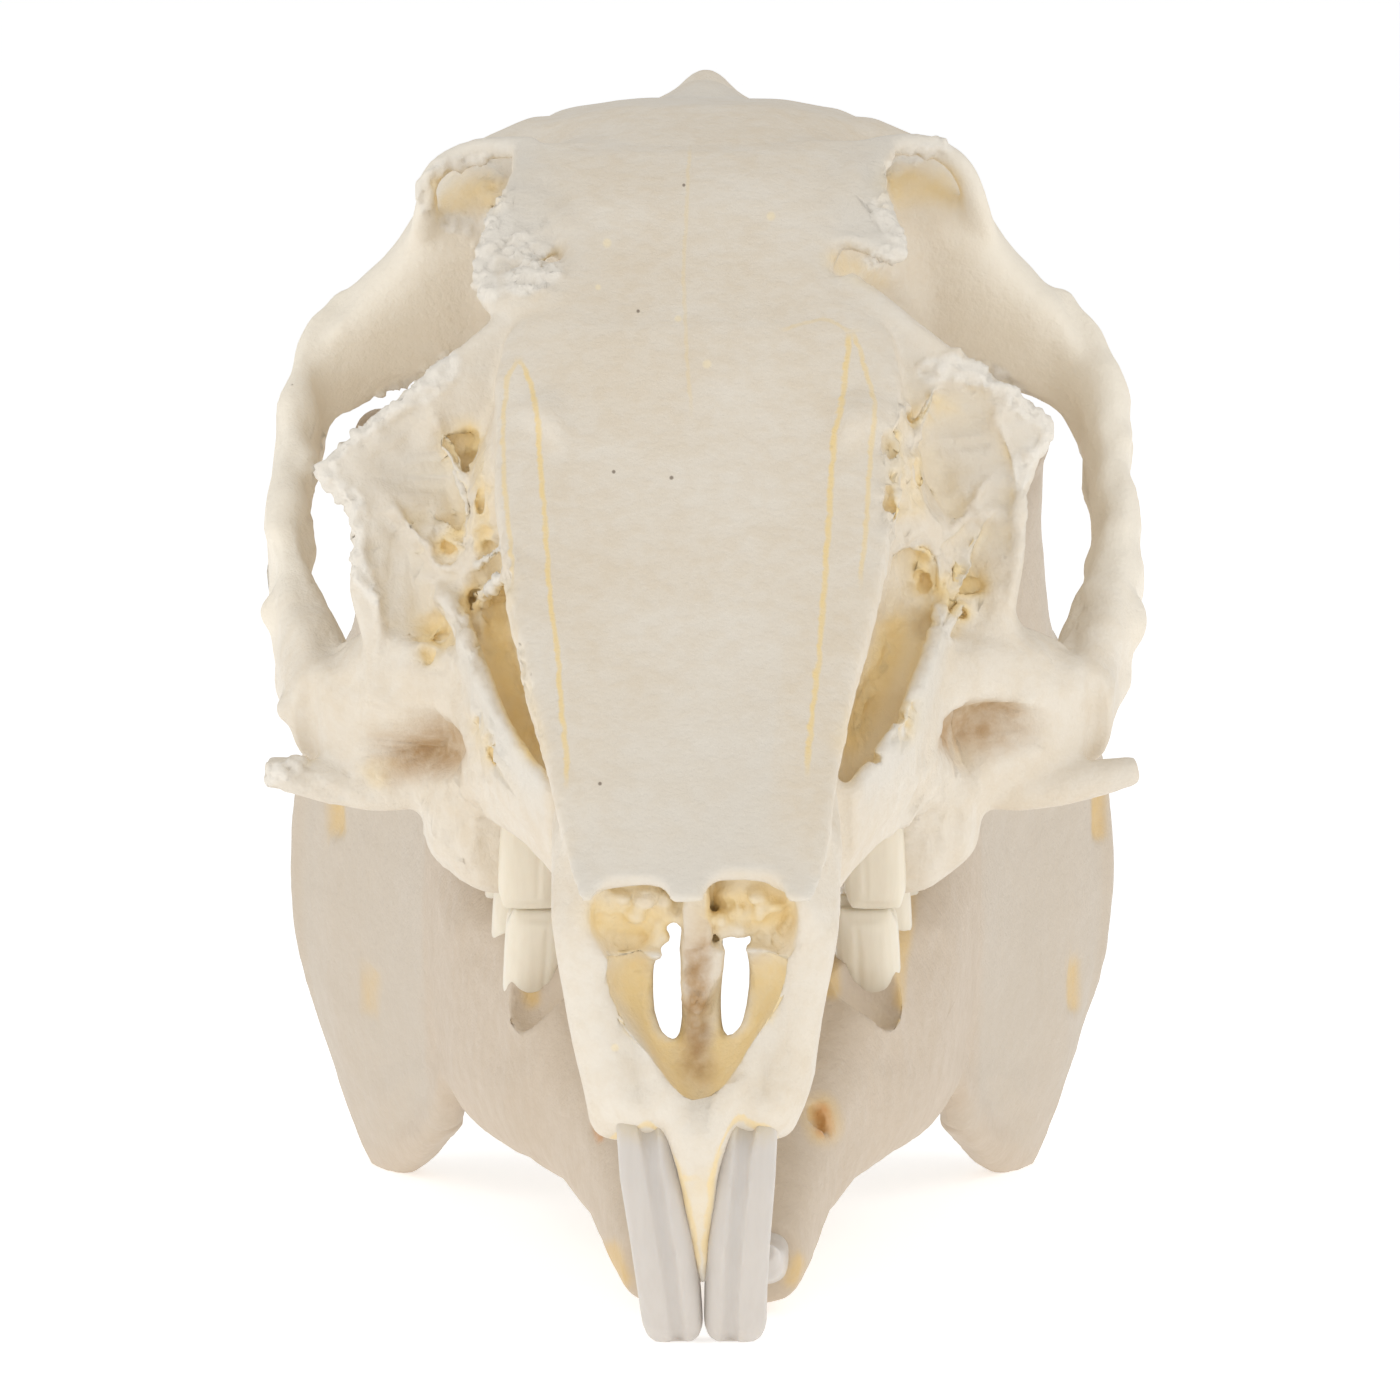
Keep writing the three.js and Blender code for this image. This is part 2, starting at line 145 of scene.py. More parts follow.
@dataclass(frozen=True)
class Picture:
    """The photograph's square frame, in pixels, and its eye point in the level frame."""

    side: float = 1400.0
    focal: float = 9270.0
    distance: float = 450.0
    elevation: float = math.radians(25.0)
    aim: Point = (0.0, 0.0, 26.0)
    aim_pixel: Pixel = (702.0, 745.0)

    def backward(self) -> Vector:
        """Unit vector from the aim point to the eye."""
        return Vector((0.0, -math.cos(self.elevation), math.sin(self.elevation)))

    def upward(self) -> Vector:
        """Unit vector that is up in the picture."""
        return Vector((0.0, math.sin(self.elevation), math.cos(self.elevation)))

    def eye(self) -> Vector:
        """Eye point."""
        return Vector(self.aim) + self.distance * self.backward()

    def ray(self, pixel: Pixel) -> Vector:
        """Unit direction from the eye through a pixel."""
        across = (pixel[0] - self.aim_pixel[0]) / self.focal
        down = (pixel[1] - self.aim_pixel[1]) / self.focal
        return (Vector((across, 0.0, 0.0)) - down * self.upward() - self.backward()).normalized()

    def project(self, points: np.ndarray) -> np.ndarray:
        """Pixels of points.

        Args:
            points: Array of points, one a row.

        Returns:
            Array of pixel pairs, one a row.
        """
        local = points - np.array(self.aim)
        depth = self.distance - local @ np.array(self.backward())
        u = self.aim_pixel[0] + self.focal * local[:, 0] / depth
        v = self.aim_pixel[1] - self.focal * (local @ np.array(self.upward())) / depth
        return np.stack([u, v], axis=1)

    def camera(self, pose: RestPose) -> bpy.types.Object:
        """Adds the camera that sees the skull as the photograph does.

        Args:
            pose: How the skull lies.

        Returns:
            The camera object.
        """
        eye, aim = pose.matrix() @ self.eye(), pose.matrix() @ Vector(self.aim)
        bpy.ops.object.camera_add(location=eye, rotation=(aim - eye).to_track_quat("-Z", "Y").to_euler())
        camera = bpy.context.active_object
        camera.data.sensor_width = 36.0
        camera.data.lens = camera.data.sensor_width * self.focal / self.side
        camera.data.shift_x = (self.side / 2 - self.aim_pixel[0]) / self.side
        camera.data.shift_y = (self.aim_pixel[1] - self.side / 2) / self.side
        camera.data.clip_end = 200.0
        return camera


REST = RestPose()
PICTURE = Picture()


class Clay:
    """A lump that primitives are added to in edit mode and that modifiers then make into one skin."""

    def __init__(self, name: str, body: bpy.types.Object | None = None) -> None:
        """Starts an empty lump in edit mode, or wraps a finished body.

        Args:
            name: Name of the object.
            body: A finished body, if there is one.
        """
        self.name = name
        self.body = body
        if body is None:
            self.body = bpy.data.objects.new(f"{name}_clay", bpy.data.meshes.new(f"{name}_clay"))
            bpy.context.scene.collection.objects.link(self.body)
            self.activate()
            bpy.ops.object.mode_set(mode="EDIT")

    def activate(self) -> None:
        """Makes this lump the only selected object."""
        bpy.ops.object.select_all(action="DESELECT")
        bpy.context.view_layer.objects.active = self.body
        self.body.select_set(True)

    def loft(self, axis: Axis, stops: list[Stop], corner: float = 0.6) -> "Clay":
        """Adds a rounded plate and extrudes it from stop to stop.

        Args:
            axis: The way the loft runs.
            stops: Length along the axis, the two places across it and the two half sizes.
            corner: Rounding of the section, 0 for square and 1 for an ellipse.

        Returns:
            This lump.
        """
        along, first, second, half_first, half_second = stops[0]
        centre = axis.point(along, first, second)
        bpy.ops.mesh.primitive_plane_add(size=2.0, location=centre, rotation=axis.turn)
        bpy.ops.mesh.bevel(offset=min(corner, 0.98), segments=4, profile=0.5, affect="VERTICES")
        bpy.ops.transform.resize(value=axis.point(1.0, half_first, half_second), center_override=centre)
        for before, stop in zip(stops, stops[1:]):
            was, now = axis.point(*before[:3]), axis.point(*stop[:3])
            step = tuple(b - a for a, b in zip(was, now))
            bpy.ops.mesh.extrude_region_move(TRANSFORM_OT_translate={"value": step})
            ratio = axis.point(1.0, stop[3] / before[3], stop[4] / before[4])
            bpy.ops.transform.resize(value=ratio, center_override=now)
        bpy.ops.mesh.select_linked()
        bpy.ops.mesh.normals_make_consistent(inside=False)
        return self

    def blob(self, centre: Point, half: Point, turn: Point = (0.0, 0.0, 0.0), fineness: int = 4) -> "Clay":
        """Adds an ellipsoid.

        Args:
            centre: Its middle.
            half: Its half sizes before it is turned.
            turn: Its turns about X, Y and Z, in degrees.
            fineness: Times that its skin is split.

        Returns:
            This lump.
        """
        angles = tuple(math.radians(angle) for angle in turn)
        bpy.ops.mesh.primitive_ico_sphere_add(
            subdivisions=fineness, radius=1.0, location=centre, rotation=angles, scale=half
        )
        return self

    def turn(self, degrees: float, centre: Point) -> "Clay":
        """Turns the shape that was added last about an upright line, counterclockwise from above.

        Args:
            degrees: Angle of the turn.
            centre: A point on the line.

        Returns:
            This lump.
        """
        bpy.ops.transform.rotate(value=-math.radians(degrees), orient_axis="Z", center_override=centre)
        return self

    def rods(self, *paths: list[Knot]) -> "Clay":
        """Adds round rods along smooth curves.

        Args:
            paths: For each rod its points with the radius there.

        Returns:
            This lump.
        """
        bpy.ops.object.mode_set(mode="OBJECT")
        curve = bpy.data.curves.new("rods", "CURVE")
        curve.dimensions = "3D"
        curve.bevel_depth = 1.0
        curve.bevel_resolution = 3
        curve.resolution_u = 6
        curve.use_fill_caps = True
        for path in paths:
            spline = curve.splines.new("NURBS")
            spline.points.add(len(path) - 1)
            spline.order_u = min(3, len(path))
            spline.use_endpoint_u = True
            for knot, (x, y, z, radius) in zip(spline.points, path):
                knot.co = (x, y, z, 1.0)
                knot.radius = radius
        rods = bpy.data.objects.new("rods", curve)
        bpy.context.scene.collection.objects.link(rods)
        bpy.ops.object.select_all(action="DESELECT")
        rods.select_set(True)
        bpy.context.view_layer.objects.active = rods
        bpy.ops.object.convert(target="MESH")
        self._join(bpy.context.view_layer.objects.active)
        bpy.ops.object.mode_set(mode="EDIT")
        return self

    def grains(self, grains: list[Grain]) -> "Clay":
        """Adds many small ellipsoids, all copies of one.

        Args:
            grains: For each its middle, its half sizes and its turns in degrees.

        Returns:
            This lump.
        """
        bpy.ops.object.mode_set(mode="OBJECT")
        bpy.ops.object.select_all(action="DESELECT")
        bpy.ops.mesh.primitive_ico_sphere_add(subdivisions=2, radius=1.0)
        pattern = bpy.context.active_object
        corners = np.array([vertex.co for vertex in pattern.data.vertices])
        faces = np.array([face.vertices[:] for face in pattern.data.polygons])
        bpy.data.objects.remove(pattern)
        turns = [
            np.array(Euler([math.radians(angle) for angle in turn]).to_matrix()) for _, _, turn in grains
        ]
        places = [(corners * half) @ turn.T + centre for (centre, half, _), turn in zip(grains, turns)]
        cells = [faces + i * len(corners) for i in range(len(grains))]
        mesh = bpy.data.meshes.new("grains")
        mesh.from_pydata(np.concatenate(places).tolist(), [], np.concatenate(cells).tolist())
        heap = bpy.data.objects.new("grains", mesh)
        bpy.context.scene.collection.objects.link(heap)
        self._join(heap)
        bpy.ops.object.mode_set(mode="EDIT")
        return self

    def _join(self, other: bpy.types.Object) -> None:
        """Joins another mesh object into this lump, in object mode."""
        self.activate()
        other.select_set(True)
        bpy.ops.object.join()

    def done(self) -> "Clay":
        """Leaves edit mode."""
        if self.body.mode == "EDIT":
            bpy.ops.object.mode_set(mode="OBJECT")
        return self

    def _apply(self, kind: str, **settings: object) -> "Clay":
        """Adds a modifier with these settings and applies it."""
        self.done().activate()
        modifier = self.body.modifiers.new(kind.title(), kind)
        for name, value in settings.items():
            setattr(modifier, name, value)
        bpy.ops.object.modifier_apply(modifier=modifier.name)
        return self

    def fuse(self, voxel: float) -> "Clay":
        """Makes one closed skin round all that was added, with faces of about this size."""
        return self._apply("REMESH", mode="VOXEL", voxel_size=voxel, adaptivity=0.0)

    def smooth(self, times: int, factor: float = 0.5) -> "Clay":
        """Softens the skin this many times."""
        return self._apply("SMOOTH", factor=factor, iterations=times)

    def take(self, other: "Clay") -> "Clay":
        """Joins another lump into this one."""
        self.done()
        other.done()
        self._join(other.body)
        return self

    def cut(self, other: "Clay") -> "Clay":
        """Takes another lump away from this one and discards it."""
        other.done()
        self._apply("BOOLEAN", operation="DIFFERENCE", solver="MANIFOLD", object=other.body)
        bpy.data.objects.remove(other.body)
        return self

    def thin(self, limit: int) -> "Clay":
        """Reduces the skin to at most this many triangles."""
        self.done()
        triangles = sum(len(face.vertices) - 2 for face in self.body.data.polygons)
        if triangles > limit:
            self._apply("DECIMATE", ratio=limit / triangles, use_collapse_triangulate=True)
        return self

    def thin_rear(self, face_end: float, ratio: float) -> "Clay":
        """Reduces the skin behind a place along Y, where it is smooth.

        Args:
            face_end: Place that the thinning starts at.
            ratio: Share of the whole skin's triangles that stays.

        Returns:
            This lump.
        """
        self.done()
        group = self.body.vertex_groups.new(name="rear")
        group.add([v.index for v in self.body.data.vertices if v.co.y > face_end], 1.0, "REPLACE")
        self._apply("DECIMATE", ratio=ratio, vertex_group=group.name, vertex_group_factor=1.0)
        self.body.vertex_groups.clear()
        return self

    def tree(self) -> BVHTree:
        """Search tree over the skin as it now is."""
        self.done()
        mesh = self.body.data
        return BVHTree.FromPolygons([v.co for v in mesh.vertices], [p.vertices for p in mesh.polygons])


def ramp(values: np.ndarray, start: float, length: float) -> np.ndarray:
    """Rises from 0 at the start to 1 over a length."""
    return np.clip((values - start) / length, 0.0, 1.0)


class Skin:
    """The points of a bone's finished skin, for fine relief and for what its finish reads."""

    def __init__(self, clay: Clay) -> None:
        """Reads the points and edges.

        Args:
            clay: The bone, in object mode.
        """
        self.clay = clay.done()
        self.mesh = clay.body.data
        self.tree = clay.tree()
        count = len(self.mesh.vertices)
        self.points = np.empty(count * 3)
        self.mesh.vertices.foreach_get("co", self.points)
        self.points = self.points.reshape(-1, 3)
        edges = np.empty(len(self.mesh.edges) * 2, dtype=np.int64)
        self.mesh.edges.foreach_get("vertices", edges)
        self.ends = edges.reshape(-1, 2)
        self.valence = np.maximum(np.bincount(edges, minlength=count), 1)
        self.normals = self._normals()
        self.pixels = PICTURE.project(self.points)

    def _normals(self) -> np.ndarray:
        """Normals of the points as they now are."""
        normals = np.empty(len(self.mesh.vertices) * 3)
        self.mesh.vertex_normals.foreach_get("vector", normals)
        return normals.reshape(-1, 3)

    def soften(self, values: np.ndarray, times: int) -> np.ndarray:
        """Averages a value with its neighbours over the skin.

        Args:
            values: One value a point.
            times: Rounds of averaging.

        Returns:
            The softened values.
        """
        a, b = self.ends.T
        for _ in range(times):
            total = np.bincount(a, values[b], len(values)) + np.bincount(b, values[a], len(values))
            values = 0.5 * values + 0.5 * total / self.valence
        return values

    def rough(self, size: float, layers: int = 3, start: float = 0.0) -> np.ndarray:
        """Even noise over the skin.

        Args:
            size: Width of one bump.
            layers: Layers of finer and finer bumps.
            start: Shift of the noise, so that two fields differ.

        Returns:
            One value a point, about -1 to 1.
        """
        shift = Vector((start, start, start))
        return np.array([
            noise.fractal(Vector(p) / size + shift, 1.0, 2.0, layers, noise_basis="PERLIN_ORIGINAL")
            for p in self.points
        ])

    def lattice(self, size: float, share: np.ndarray) -> np.ndarray:
        """Depth of a net of small cells with thin walls between them.

        Args:
            size: Width of one cell.
            share: How much of the net each point shows.

        Returns:
            Depth below the walls, about 0 to 1, one value a point.
        """
        result = np.zeros(len(self.points))
        for i in np.flatnonzero(share > 0.0):
            nearest, second = noise.voronoi(Vector(self.points[i]) / size)[0][:2]
            result[i] = share[i] * min(max((second - nearest - 0.06) / 0.34, 0.0), 1.0)
        return result

    def shade(self, rays: int, reach: float) -> np.ndarray:
        """How closed in each point is.

        Args:
            rays: Rays that look out from each point.
            reach: How far they look.

        Returns:
            Share of the rays that meet bone, one value a point.
        """
        golden = math.pi * (3.0 - math.sqrt(5.0))
        fan = []
        for i in range(rays):
            up = 1.0 - (i + 0.5) / rays * 0.93
            flat = math.sqrt(1.0 - up * up)
            fan.append(Vector((flat * math.cos(golden * i), flat * math.sin(golden * i), up)))
        upright = Vector((0.0, 0.0, 1.0))
        lift = 0.03
        result = np.zeros(len(self.points))
        for i, (place, normal) in enumerate(zip(self.points, self.normals)):
            out = Vector(normal)
            start = Vector(place) + lift * out
            turn = upright.rotation_difference(out)
            hits = sum(self.tree.ray_cast(start, turn @ ray, reach)[0] is not None for ray in fan)
            result[i] = hits / rays
        return result

    def thickness(self, reach: float) -> np.ndarray:
        """How thick the bone is under each point, up to a reach."""
        result = np.full(len(self.points), reach)
        for i, (place, normal) in enumerate(zip(self.points, self.normals)):
            inward = -Vector(normal)
            depth = self.tree.ray_cast(Vector(place) + 0.05 * inward, inward, reach)[3]
            if depth is not None:
                result[i] = depth
        return result

    def near(self, path: tuple[Pixel, ...]) -> np.ndarray:
        """Distance in pixels from each point to a line in the picture.

        Args:
            path: Corners of the line.

        Returns:
            One distance a point.
        """
        best = np.full(len(self.points), np.inf)
        for start, end in zip(path, path[1:]):
            a, span = np.array(start), np.array(end) - np.array(start)
            share = np.clip((self.pixels - a) @ span / (span @ span), 0.0, 1.0)
            gap = self.pixels - a - share[:, None] * span
            best = np.minimum(best, np.hypot(*gap.T))
        return best

    def facing(self) -> np.ndarray:
        """How far each point faces the photograph's eye, from 0 to 1."""
        return np.clip(self.normals @ np.array(PICTURE.backward()), 0.0, 1.0)

    def seen(self) -> np.ndarray:
        """How far each point faces the photograph's eye, with 0 where other bone hides it."""
        eye = PICTURE.eye()
        result = self.facing()
        slack = 0.25
        for i in np.flatnonzero(result):
            way = Vector(self.points[i]) - eye
            if self.tree.ray_cast(eye, way.normalized(), way.length - slack)[0] is not None:
                result[i] = 0.0
        return result

    def stained(self, stains: tuple["Stain", ...]) -> np.ndarray:
        """How much colour each point has taken up.

        Args:
            stains: The patches.

        Returns:
            One share a point.
        """
        total = np.zeros(len(self.points))
        for stain in stains:
            total = np.maximum(total, np.clip(1.6 - self.near(stain.path) / stain.width, 0.0, 1.0))
        return total

    def dished(self, dishes: tuple["Dish", ...]) -> np.ndarray:
        """How deep each point lies in soft hollows.

        Args:
            dishes: The hollows.

        Returns:
            One depth a point.
        """
        total = np.zeros(len(self.points))
        for dish in dishes:
            share = np.clip(1.0 - (self.near(dish.path) / dish.width) ** 2, 0.0, 1.0)
            total = total + dish.depth * share ** 2
        return total

    def push(self, amount: np.ndarray) -> None:
        """Moves the points along their normals."""
        self.points = self.points + amount[:, None] * self.normals

    def store(self) -> None:
        """Writes the points back and reads the skin anew."""
        self.mesh.vertices.foreach_set("co", self.points.astype(np.float32).ravel())
        self.mesh.update()
        self.tree = self.clay.tree()
        self.normals = self._normals()

    def paint(self, name: str, values: np.ndarray) -> None:
        """Stores a value for the finish to read.

        Args:
            name: Name of the attribute.
            values: One value a point.
        """
        layer = self.mesh.attributes.new(name, "FLOAT", "POINT")
        layer.data.foreach_set("value", values.astype(np.float32))

    def map_picture(self) -> None:
        """Stores each point's pixel, as a share of the frame, for the seams and specks of the finish."""
        loops = np.empty(len(self.mesh.loops), dtype=np.int64)
        self.mesh.loops.foreach_get("vertex_index", loops)
        layer = self.mesh.uv_layers.new(name=PICTURE_MAP)
        layer.data.foreach_set("uv", (self.pixels[loops] / PICTURE.side).astype(np.float32).ravel())


class Value:
    """A shader socket that takes part in Python arithmetic."""

    def __init__(self, graph: "Graph", socket: bpy.types.NodeSocket) -> None:
        """Wraps a socket of a graph."""
        self.graph = graph
        self.socket = socket

    def __add__(self, other: "Value | float") -> "Value":
        """Sum."""
        return self.graph.maths("ADD", self, other)

    __radd__ = __add__

    def __sub__(self, other: "Value | float") -> "Value":
        """Difference."""
        return self.graph.maths("SUBTRACT", self, other)

    def __rsub__(self, other: float) -> "Value":
        """Difference from a number."""
        return self.graph.maths("SUBTRACT", other, self)

    def __mul__(self, other: "Value | float") -> "Value":
        """Product."""
        return self.graph.maths("MULTIPLY", self, other)

    __rmul__ = __mul__

    def __abs__(self) -> "Value":
        """Size without sign."""
        return self.graph.maths("ABSOLUTE", self, 0.0)

    def most(self, other: "Value | float") -> "Value":
        """The larger of two values."""
        return self.graph.maths("MAXIMUM", self, other)

    def rise(self, low: float, high: float, start: float = 0.0, end: float = 1.0) -> "Value":
        """A soft step from the start value at low to the end value at high."""
        return self.graph.node(
            "ShaderNodeMapRange",
            {"interpolation_type": "SMOOTHSTEP"},
            {"Value": self, "From Min": low, "From Max": high, "To Min": start, "To Max": end},
        )

    def fall(self, low: float, high: float) -> "Value":
        """A soft step from 1 at low to 0 at high."""
        return self.rise(low, high, 1.0, 0.0)


class Graph:
    """A material's node tree."""

    def __init__(self, name: str) -> None:
        """Starts an empty material."""
        self.material = bpy.data.materials.new(name)
        self.material.use_nodes = True
        self.tree = self.material.node_tree
        self.tree.nodes.clear()

    def node(
        self,
        kind: str,
        settings: dict[str, object] | None = None,
        inputs: dict[str | int, object] | None = None,
        output: str | int | None = 0,
    ) -> Value | None:
        """Adds a node.

        Args:
            kind: Type of the node.
            settings: Its settings, with the points of a curve among them.
            inputs: Values or links of its sockets.
            output: The output that is handed back, if the node has any.

        Returns:
            That output.
        """
        node = self.tree.nodes.new(kind)
        for name, value in (settings or {}).items():
            if name == "points":
                self._set_points(node.mapping, value)
            else:
                setattr(node, name, value)
        for name, value in (inputs or {}).items():
            if isinstance(value, Value):
                self.tree.links.new(value.socket, node.inputs[name])
            else:
                node.inputs[name].default_value = value
        return None if output is None else Value(self, node.outputs[output])

    @staticmethod
    def _set_points(mapping: bpy.types.CurveMapping, points: list[Pixel]) -> None:
        """Sets the points of a curve that holds its end values."""
        mapping.use_clip = True
        mapping.extend = "HORIZONTAL"
        curve = mapping.curves[0]
        while len(curve.points) < len(points):
            curve.points.new(0.5, 0.5)
        for knot, place in zip(curve.points, sorted(points)):
            knot.location = place
            knot.handle_type = "AUTO"
        mapping.update()

    def maths(self, operation: str, first: Value | float, second: Value | float) -> Value:
        """Adds a Math node."""
        return self.node("ShaderNodeMath", {"operation": operation}, {0: first, 1: second})

    def mix(self, share: Value | float, first: Value | Colour, second: Value | Colour) -> Value:
        """Mixes two colours.

        Args:
            share: Share of the second colour.
            first: First colour.
            second: Second colour.

        Returns:
            The mixed colour.
        """
        inputs = {0: share, 6: first, 7: second}
        return self.node("ShaderNodeMix", {"data_type": "RGBA"}, inputs, output=2)

    def grain(self, place: Value, size: float, detail: float = 3.0, rough: float = 0.5) -> Value:
        """Noise with bumps of about this size, in millimetres."""
        settings = {"noise_dimensions": "3D"}
        inputs = {"Vector": place, "Scale": 1.0 / size, "Detail": detail, "Roughness": rough}
        return self.node("ShaderNodeTexNoise", settings, inputs)

    def attribute(self, name: str) -> Value:
        """A value that the skin stores."""
        return self.node("ShaderNodeAttribute", {"attribute_name": name}, output="Fac")

    def millimetres(self) -> Value:
        """Object coordinates in millimetres."""
        place = self.node("ShaderNodeTexCoord", output="Object")
        return self.node("ShaderNodeMapping", None, {"Vector": place, "Scale": (1000.0, 1000.0, 1000.0)})

    def surface(self, constants: dict[str, object], varying: dict[str, Value]) -> bpy.types.Material:
        """Ends the tree in a Principled shader.

        Args:
            constants: Values that are the same all over.
            varying: Values that change over the surface.

        Returns:
            The material.
        """
        shader = self.node("ShaderNodeBsdfPrincipled", None, {**constants, **varying})
        self.node("ShaderNodeOutputMaterial", None, {"Surface": shader}, output=None)
        return self.material


def colour(red: float, green: float, blue: float) -> Colour:
    """A colour from its 0 to 255 screen values."""
    def linear(value: float) -> float:
        """One channel from its shown value to its light."""
        share = value / 255.0
        return share / 12.92 if share <= 0.04045 else ((share + 0.055) / 1.055) ** 2.4

    return (linear(red), linear(green), linear(blue), 1.0)


@dataclass(frozen=True)
class Pit:
    """A small hole that is placed by its pixel in the photograph."""

    pixel: Pixel
    width: float
    height: float
    depth: float
    lean: float = 0.0

    def carve(self, clay: Clay, tree: BVHTree, draw: random.Random) -> None:
        """Adds the hole's uneven shape to a lump of cutters.

        Args:
            clay: The cutters.
            tree: The bone that carries the hole.
            draw: Seeded source of chance.
        """
        place = tree.ray_cast(PICTURE.eye(), PICTURE.ray(self.pixel))[0]
        if place is None:
            return
        tilt = -math.degrees(PICTURE.elevation)
        for share in (0.8, 0.6, 0.5):
            shift = Vector((draw.gauss(0.0, 0.2) * self.width, 0.0, draw.gauss(0.0, 0.2) * self.height))
            half = (share * self.width / 2, share * self.depth, share * self.height / 2)
            turn = (tilt, self.lean + draw.gauss(0.0, 14.0), 0.0)
            clay.blob(tuple(place + shift), half, turn, fineness=3)


def pick(tree: BVHTree, pixel: Pixel, lift: float) -> Vector | None:
    """Finds the point of a bone behind a pixel.

    Args:
        tree: The bone.
        pixel: Pixel in the photograph.
        lift: How far in front of the bone the point stands.

    Returns:
        The point, or None where the pixel misses the bone.
    """
    ray = PICTURE.ray(pixel)
    place = tree.ray_cast(PICTURE.eye(), ray)[0]
    return None if place is None else place - lift * ray


@dataclass(frozen=True)
class Strut:
    """A thread of bone that is placed by its pixels in the photograph."""

    path: tuple[Pixel, ...]
    radius: float
    lift: float = 0.02

    def knots(self, tree: BVHTree) -> list[Knot]:
        """Points of the thread on the bone that carries it."""
        last = len(self.path) - 1
        shares = [0.5 if i in (0, last) else 1.0 for i in range(last + 1)]
        lifts = [self.lift * (3.0 * share - 2.0) for share in shares]
        places = [pick(tree, pixel, lift) for pixel, lift in zip(self.path, lifts)]
        return [(*place, self.radius * share) for place, share in zip(places, shares) if place is not None]


@dataclass(frozen=True)
class CrumbledEdge:
    """An edge that has crumbled to white grains, along pixels of the photograph."""

    path: tuple[Pixel, ...]
    grain: float
    spread: float
    count: int

    def scatter(self, tree: BVHTree, draw: random.Random) -> list[Grain]:
        """Finds places, sizes and turns for the grains.

        Args:
            tree: The bone that carries the edge.
            draw: Seeded source of chance.

        Returns:
            The grains.
        """
        grains = []
        legs = list(zip(self.path, self.path[1:]))
        for _ in range(self.count):
            (u0, v0), (u1, v1) = draw.choice(legs)
            share = draw.random()
            pixel = (
                u0 + share * (u1 - u0) + draw.gauss(0.0, self.spread),
                v0 + share * (v1 - v0) + draw.gauss(0.0, self.spread),
            )
            size = self.grain * draw.uniform(0.6, 1.3)
            place = pick(tree, pixel, -0.2 * size)
            if place is not None:
                half = tuple(size * draw.uniform(0.7, 1.2) for _ in range(3))
                grains.append((tuple(place), half, (draw.uniform(0, 90), draw.uniform(0, 90), 0.0)))
        return grains


class Tone(Enum):
    """The two colours that bone takes up, named as the skin stores them."""

    AMBER = "amber"
    BROWN = "brown"


@dataclass(frozen=True)
class Stain:
    """A patch that has taken up colour, along pixels of the photograph."""

    path: tuple[Pixel, ...]
    width: float


@dataclass(frozen=True)
class Dish:
    """A soft hollow along pixels of the photograph: half width in pixels, depth in millimetres."""

    path: tuple[Pixel, ...]
    width: float
    depth: float


